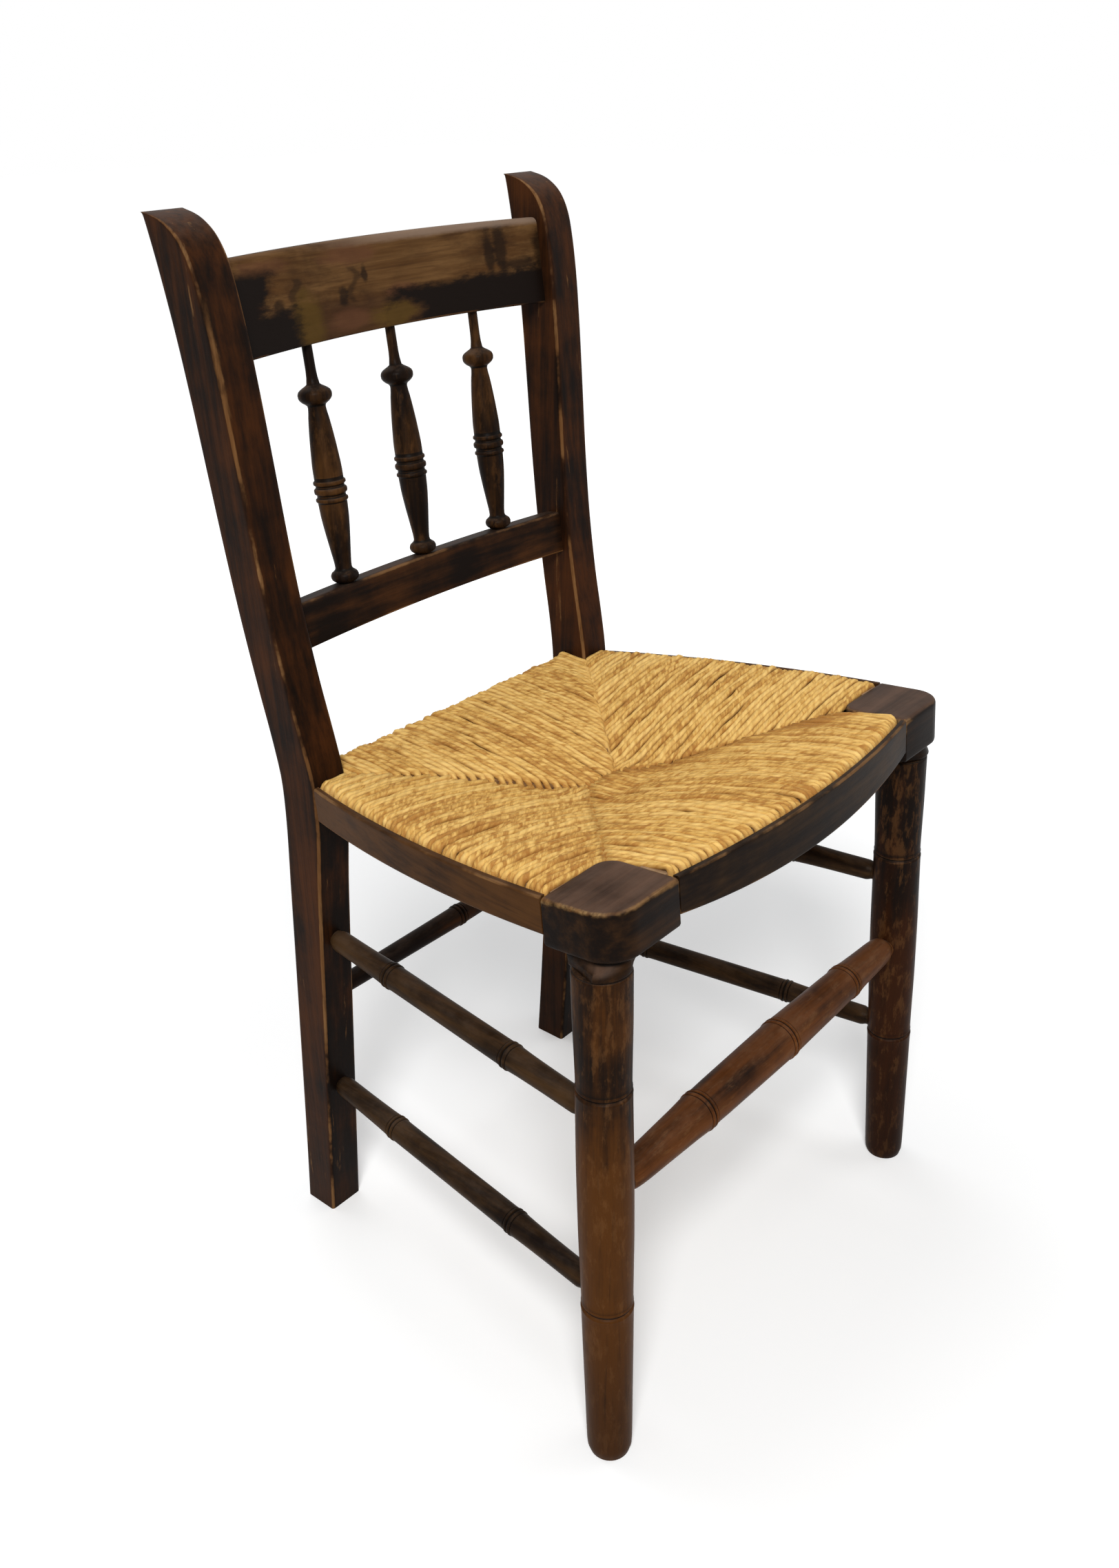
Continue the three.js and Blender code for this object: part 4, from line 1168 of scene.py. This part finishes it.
def seam_x(y):
    """Where the side cords end at a depth y."""
    corner = BACK_SEAM if y > MIDDLE_Y else FRONT_SEAM
    t = max(0.0, (y - MIDDLE_Y) / (corner[1] - MIDDLE_Y))
    return MIDDLE_HALF + (corner[0] - MIDDLE_HALF) * t


def seam_y(x, corner):
    """Where the front or back cords end at a place x across the seat."""
    t = min(1.0, max(0.0, (abs(x) - MIDDLE_HALF) / (corner[0] - MIDDLE_HALF)))
    return MIDDLE_Y + (corner[1] - MIDDLE_Y) * t


def sag_at(distance, sag):
    return sag * min(1.0, max(0.0, distance / SAG_REACH)) ** SAG_POWER


def cord_path(edge, seam, depth, sag, dive=DIVE):
    """Middle line of one cord, from the seam over the rail and back under it to the seam."""
    edge, seam = np.array(edge, float), np.array(seam, float)
    reach = float(np.linalg.norm(seam - edge))
    inward = (seam - edge) / reach
    top = RUSH_TOP - depth
    line = []
    if dive:
        line.append((reach + 0.8, top - sag_at(reach, sag) - dive))
        line.append((reach - 0.4, top - sag_at(reach, sag) - dive * 0.45))
    near_seam = reach - (SEAM_START if dive else 0.0)
    spans = max(4, int(reach / CORD_STEP))
    for i in range(spans + 1):
        distance = near_seam + (RAIL_ROUND_TOP + 3 - near_seam) * i / spans
        line.append((distance, top - sag_at(distance, sag)))
    outer = RAIL_ROUND_TOP - depth
    for angle in (75, 50, 25, 0):
        turn = math.radians(angle)
        z = RUSH_TOP - RAIL_ROUND_TOP + outer * math.sin(turn)
        line.append((RAIL_ROUND_TOP - outer * math.cos(turn), z))
    lower = RAIL_ROUND_BOTTOM - depth
    for angle in (0, 40, 75):
        turn = math.radians(angle)
        z = RUSH_BOTTOM + RAIL_ROUND_BOTTOM - lower * math.sin(turn)
        line.append((RAIL_ROUND_BOTTOM - lower * math.cos(turn), z))
    middle_bottom = RUSH_TOP - PAD_THICKNESS
    for t in (0.2, 0.4, 0.6, 0.8, 1.0):
        distance = RAIL_ROUND_BOTTOM + (reach - RAIL_ROUND_BOTTOM) * t
        share = min(1.0, distance / UNDER_REACH)
        bottom = RUSH_BOTTOM + (middle_bottom - sag_at(distance, sag) - RUSH_BOTTOM) * share
        line.append((distance, min(bottom, RUSH_BOTTOM + UNDER_RISE) + depth))
    return [(*(edge + inward * distance), z) for distance, z in line]


def cord_fields(pitch):
    """Ends of every cord in the four fields: (point on the edge, point on the seam)."""
    half = pitch / 2
    fields = {"left": [], "right": [], "back": [], "front": []}
    first, last = BLOCK_BACK_Y + half, POST_AT_SEAT - half
    for y in np.linspace(first, last, round((last - first) / pitch) + 1):
        for word, side in SIDES:
            fields[word].append(((side * (side_edge(y) - RUSH_INSET), y), (side * seam_x(y), y)))
    end = POST_X - POST_WIDTH / 2 - half
    for x in np.linspace(-end, end, round(2 * end / pitch) + 1):
        fields["back"].append(((x, BACK_RUSH_Y), (x, seam_y(x, BACK_SEAM))))
    end = BLOCK_INNER_X - half
    for x in np.linspace(-end, end, round(2 * end / pitch) + 1):
        fields["front"].append(((x, front_edge(x) + RUSH_INSET), (x, seam_y(x, FRONT_SEAM))))
    return fields


CORD_SIDES = 8
FILLING_STEP = 3  # the stuffing follows every third cord
FILLING_DEPTH = 0.8  # how deep below the outside of the cords, in cord thicknesses


def cord_tree():
    """Geometry Nodes that sweep a twisted cord along every guide line."""
    tree = bpy.data.node_groups.new("rush_cords", "GeometryNodeTree")
    face = tree.interface
    face.new_socket("Guides", in_out="INPUT", socket_type="NodeSocketGeometry")
    for name, kind, value in (
        ("Thickness", "NodeSocketFloat", 0.0056), ("Unevenness", "NodeSocketFloat", 0.2),
        ("Wander", "NodeSocketFloat", 0.001), ("Seed", "NodeSocketInt", 7),
        ("Material", "NodeSocketMaterial", None),
    ):
        socket = face.new_socket(name, in_out="INPUT", socket_type=kind)
        if value is not None:
            socket.default_value = value
    face.new_socket("Cords", in_out="OUTPUT", socket_type="NodeSocketGeometry")
    nodes, links = tree.nodes, tree.links

    def node(kind, settings=None, inputs=None):
        made = nodes.new(kind)
        for key, setting in (settings or {}).items():
            setattr(made, key, setting)
        for key, value in (inputs or {}).items():
            if isinstance(value, bpy.types.NodeSocket):
                links.new(value, made.inputs[key])
            else:
                made.inputs[key].default_value = value
        return made

    def maths(operation, first, second=0.0):
        return node("ShaderNodeMath", {"operation": operation}, {0: first, 1: second}).outputs[0]

    def vectors(operation, first, values):
        inputs = {0: first, **values}
        return node("ShaderNodeVectorMath", {"operation": operation}, inputs).outputs[0]

    def stored(geometry, name, value, kind="FLOAT"):
        settings = {"data_type": kind, "domain": "POINT"}
        inputs = {0: geometry, "Name": name, "Value": value}
        return node("GeometryNodeStoreNamedAttribute", settings, inputs).outputs[0]

    def in_use(made):
        """The one output that a node of several kinds has switched on."""
        return [s for s in made.outputs if s.enabled][0]

    given = node("NodeGroupInput").outputs
    curves = node("GeometryNodeMeshToCurve", None, {0: given["Guides"]}).outputs[0]

    def per_cord(seed_shift):
        """A number from 0 to 1 that is the same all along one cord."""
        seed = maths("ADD", given["Seed"], seed_shift)
        number = in_use(node("FunctionNodeRandomValue", {"data_type": "FLOAT"}, {"Seed": seed}))
        settings = {"domain": "CURVE", "data_type": "FLOAT"}
        return node("GeometryNodeFieldOnDomain", settings, {0: number}).outputs[0]

    spot = node("GeometryNodeInputPosition").outputs[0]
    inputs = {0: given["Seed"], 1: per_cord(11.0)}
    seed_vector = node("ShaderNodeCombineXYZ", None, inputs).outputs[0]
    shifted = vectors("ADD", spot, {1: seed_vector})

    def noise(scale):
        inputs = {"Vector": shifted, "Scale": scale, "Detail": 1.0}
        return node("ShaderNodeTexNoise", None, inputs).outputs

    centred = vectors("SUBTRACT", noise(34.0)[1], {1: (0.5, 0.5, 0.5)})
    wander = vectors("SCALE", centred, {"Scale": maths("MULTIPLY", given["Wander"], 4.0)})
    moved = node("GeometryNodeSetPosition", None, {0: curves, "Offset": wander}).outputs[0]

    bulge = noise(60.0)[0]
    spread = maths("ADD", maths("SUBTRACT", per_cord(0.0), 0.5), maths("SUBTRACT", bulge, 0.5))
    factor = maths("ADD", maths("MULTIPLY", spread, given["Unevenness"]), 1.04)
    radius = maths("MULTIPLY", maths("MULTIPLY", given["Thickness"], 0.5), factor)

    length = node("GeometryNodeSplineParameter").outputs["Length"]
    toned = stored(stored(moved, "along", length), "tone", per_cord(3.0))

    inputs = {"Resolution": CORD_SIDES, "Radius": 1.0}
    circle = node("GeometryNodeCurvePrimitiveCircle", None, inputs).outputs[0]
    around = node("GeometryNodeInputPosition").outputs[0]
    ring = stored(circle, "around", around, "FLOAT_VECTOR")
    inputs = {0: toned, 1: ring, "Scale": radius, "Fill Caps": True}
    swept = node("GeometryNodeCurveToMesh", None, inputs).outputs[0]
    smooth = node("GeometryNodeSetShadeSmooth", None, {0: swept}).outputs[0]

    def named(name, kind):
        return in_use(node("GeometryNodeInputNamedAttribute", {"data_type": kind}, {"Name": name}))

    split = node("ShaderNodeSeparateXYZ", None, {0: named("around", "FLOAT_VECTOR")}).outputs
    inputs = {0: named("along", "FLOAT"), 1: split[0], 2: split[1]}
    joined = node("ShaderNodeCombineXYZ", None, inputs).outputs[0]
    final = stored(smooth, "cord", joined, "FLOAT_VECTOR")
    real = node("GeometryNodeRealizeInstances", None, {0: final}).outputs[0]
    inputs = {0: real, "Material": given["Material"]}
    dressed = node("GeometryNodeSetMaterial", None, inputs).outputs[0]
    node("NodeGroupOutput", None, {0: dressed})
    return tree


def run_tree(thing, tree, values):
    """Runs a tree on an object and returns the result as a plain mesh object."""
    modifier = thing.modifiers.new("build", "NODES")
    modifier.node_group = tree
    for item in tree.interface.items_tree:
        if item.item_type == "SOCKET" and item.in_out == "INPUT" and item.name in values:
            modifier[item.identifier] = values[item.name]
    bpy.context.view_layer.update()
    graph = bpy.context.evaluated_depsgraph_get()
    mesh = bpy.data.meshes.new_from_object(
        thing.evaluated_get(graph), preserve_all_data_layers=True, depsgraph=graph)
    thing.modifiers.remove(modifier)
    if not mesh.polygons:
        raise RuntimeError(f"{thing.name}: the cords came out empty")
    return mesh


def guide_lines(name, fields, depth, sag):
    points, edges = [], []
    for ends in fields:
        for edge, seam in ends:
            line = place(cord_path(edge, seam, depth, sag))
            first = len(points)
            points += [tuple(p) for p in line]
            edges += [(first + i, first + i + 1) for i in range(len(line) - 1)]
    mesh = bpy.data.meshes.new(name)
    mesh.from_pydata(points, edges, [])
    thing = bpy.data.objects.new(name, mesh)
    bpy.context.scene.collection.objects.link(thing)
    return thing


def filling_finish():
    """Dark broken rush stuffed between the two layers of cords."""
    graph = Graph("rush_filling")
    spot = graph.place()
    bits = graph.noise(spot, 260.0, 3.0, 0.6)
    tone = graph.mix(bits.step(0.3, 0.7), colour(0.10, 0.045, 0.014), colour(0.27, 0.14, 0.045))
    graph.surface(Base_Color=tone, Roughness=0.9)
    return graph.material


class CHAIR_OT_rush(bpy.types.Operator):
    """Rush cords woven over the seat rails in four fields that meet in the middle"""
    bl_idname = "chair.rush"
    bl_label = "Rush seat"

    def execute(self, context):
        sizes = context.scene.chair_sizes
        thick = sizes.cord_thickness * 1000
        sag = sizes.seat_sag * 1000
        fields = cord_fields(thick * CORD_PITCH)
        tree = cord_tree()
        material = rush_finish()
        values = {
            "Thickness": sizes.cord_thickness, "Unevenness": sizes.cord_unevenness,
            "Wander": sizes.cord_wander, "Seed": sizes.seed, "Material": material,
        }
        guides = guide_lines("rush_seat_woven", fields.values(), thick / 2, sag)
        lines = guides.data
        guides.data = run_tree(guides, tree, values)
        bpy.data.meshes.remove(lines)
        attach(guides, "root")
        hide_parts("rush_seat")
        self.fill(fields, thick, sag)
        return {"FINISHED"}

    def fill(self, fields, thick, sag):
        """The stuffing, one closed form under each field of cords."""
        material = filling_finish()
        for word, ends in fields.items():
            chosen = ends[:-1:FILLING_STEP] + ends[-1:]
            depth = thick * FILLING_DEPTH
            rings = [cord_path(edge, seam, depth, sag, dive=0) for edge, seam in chosen]
            common = min(len(ring) for ring in rings)
            even = [resample(np.array(ring), common) for ring in rings]
            filling = ring_mesh(f"rush_filling_{word}", even)
            filling.data.materials.append(material)
            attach(filling, "root")


def resample(points, count):
    """The same line with an even number of points."""
    steps = np.concatenate([[0], np.cumsum(np.linalg.norm(np.diff(points, axis=0), axis=1))])
    places = np.linspace(0, steps[-1], count)
    return np.stack([np.interp(places, steps, points[:, i]) for i in range(3)], axis=-1)


class CHAIR_OT_rails(bpy.types.Operator):
    """Plain rails inside the rush"""
    bl_idname = "chair.rails"
    bl_label = "Seat rails"

    def execute(self, context):
        material = plain_wood()
        for name in ("left_seat_rail", "right_seat_rail", "front_seat_rail", "back_seat_rail"):
            for slot in NODES[name].material_slots:
                slot.material = material
        return {"FINISHED"}


# Stage

def area_light(name, spot, target, size, power, tint):
    data = bpy.data.lights.new(name, "AREA")
    data.shape = "DISK"
    data.size = size
    data.energy = power
    data.color = tint
    light = bpy.data.objects.new(name, data)
    aim = (Vector(target) - Vector(spot)).to_track_quat("-Z", "Y")
    light.matrix_world = Matrix.LocRotScale(Vector(spot), aim, None)
    bpy.context.scene.collection.objects.link(light)


class CHAIR_OT_stage(bpy.types.Operator):
    """Pale floor, white backdrop, soft studio light and the camera"""
    bl_idname = "chair.stage"
    bl_label = "Stage"

    def execute(self, context):
        scene = context.scene
        self.floor(scene.chair_finish)
        self.backdrop(scene)
        for light in LIGHTS:
            area_light(*light)
        self.camera(scene)
        scene.view_settings.view_transform = "Standard"
        return {"FINISHED"}

    def floor(self, looks):
        half = FLOOR_HALF
        corners = [(-half, -half, 0), (half, -half, 0), (half, half, 0), (-half, half, 0)]
        floor = make_object("floor", corners, [(0, 1, 2, 3)])
        graph = Graph("floor_paper")
        graph.surface(Base_Color=colour(*looks.floor), Roughness=0.85, Specular_IOR_Level=0.1)
        path = graph.add("ShaderNodeLightPath", out="Is Camera Ray")
        rays = path.socket.node.outputs
        for ray in ("Is Glossy Ray", "Is Transmission Ray"):
            path = path.larger(Value(graph, rays[ray]))
        away = graph.add("ShaderNodeVectorMath", {"operation": "LENGTH"}, {0: graph.place()}, 1)
        least, added, near, far = FLOOR_GLOW
        strength = least + away.step(near, far) * added
        glow = graph.add("ShaderNodeEmission", None, {"Color": (1, 1, 1, 1), "Strength": strength})
        dark = graph.add("ShaderNodeEmission", None, {"Color": (0, 0, 0, 1), "Strength": 0.0})
        lift = graph.add("ShaderNodeMixShader", None, {0: path, 1: dark, 2: glow})
        shaded = Value(graph, graph.shader.outputs[0])
        both = graph.add("ShaderNodeAddShader", None, {0: shaded, 1: lift})
        graph.connect(both, graph.out.inputs["Surface"])
        floor.data.materials.append(graph.material)

    def backdrop(self, scene):
        world = bpy.data.worlds.new("studio")
        scene.world = world
        world.use_nodes = True
        nodes, links = world.node_tree.nodes, world.node_tree.links
        nodes.clear()
        out = nodes.new("ShaderNodeOutputWorld")
        soft, white = (nodes.new("ShaderNodeBackground") for _ in range(2))
        soft.inputs["Color"].default_value = colour(1.0, 0.99, 0.97)
        soft.inputs["Strength"].default_value = WORLD_STRENGTH
        white.inputs["Color"].default_value = colour(1.0, 1.0, 1.0)
        white.inputs["Strength"].default_value = 1.0
        path = nodes.new("ShaderNodeLightPath")
        mixed = nodes.new("ShaderNodeMixShader")
        seen = path.outputs["Is Camera Ray"]
        for ray in ("Is Glossy Ray", "Is Transmission Ray"):
            either = nodes.new("ShaderNodeMath")
            either.operation = "MAXIMUM"
            links.new(seen, either.inputs[0])
            links.new(path.outputs[ray], either.inputs[1])
            seen = either.outputs[0]
        links.new(seen, mixed.inputs[0])
        links.new(soft.outputs[0], mixed.inputs[1])
        links.new(white.outputs[0], mixed.inputs[2])
        links.new(mixed.outputs[0], out.inputs["Surface"])

    def camera(self, scene):
        data = bpy.data.cameras.new("photo_camera")
        data.sensor_width = SENSOR_WIDTH
        data.sensor_fit = "AUTO"
        data.lens = LENS
        data.shift_x, data.shift_y = LENS_SHIFT
        data.clip_start = 0.05
        camera = bpy.data.objects.new("photo_camera", data)
        turn = Matrix((VIEW_RIGHT, VIEW_UP, -VIEW_AHEAD)).transposed()
        camera.matrix_world = Matrix.Translation(VIEWPOINT) @ turn.to_4x4()
        scene.collection.objects.link(camera)
        scene.camera = camera


class CHAIR_PT_panel(bpy.types.Panel):
    """Buttons and sizes of the chair"""
    bl_label = "Rush seat chair"
    bl_idname = "CHAIR_PT_panel"
    bl_space_type = "VIEW_3D"
    bl_region_type = "UI"
    bl_category = "Chair"

    def draw(self, context):
        layout = self.layout
        for group in (context.scene.chair_sizes, context.scene.chair_finish):
            box = layout.box()
            for key in group.__annotations__:
                box.prop(group, key)
        for operator in OPERATORS:
            layout.operator(operator.bl_idname)


OPERATORS = (
    CHAIR_OT_posts, CHAIR_OT_legs, CHAIR_OT_blocks, CHAIR_OT_strips, CHAIR_OT_stretchers,
    CHAIR_OT_back, CHAIR_OT_spindles, CHAIR_OT_rails, CHAIR_OT_rush, CHAIR_OT_stage,
)
CLASSES = (ChairSizes, ChairFinish, *OPERATORS, CHAIR_PT_panel)


def register():
    for kind in CLASSES:
        bpy.utils.register_class(kind)
    bpy.types.Scene.chair_sizes = bpy.props.PointerProperty(type=ChairSizes)
    bpy.types.Scene.chair_finish = bpy.props.PointerProperty(type=ChairFinish)


def unregister():
    del bpy.types.Scene.chair_finish
    del bpy.types.Scene.chair_sizes
    for kind in reversed(CLASSES):
        bpy.utils.unregister_class(kind)


def main():
    register()
    for operator in OPERATORS:
        group, name = operator.bl_idname.split(".")
        getattr(getattr(bpy.ops, group), name)()
    bpy.context.view_layer.update()


if __name__ == "__main__":
    main()
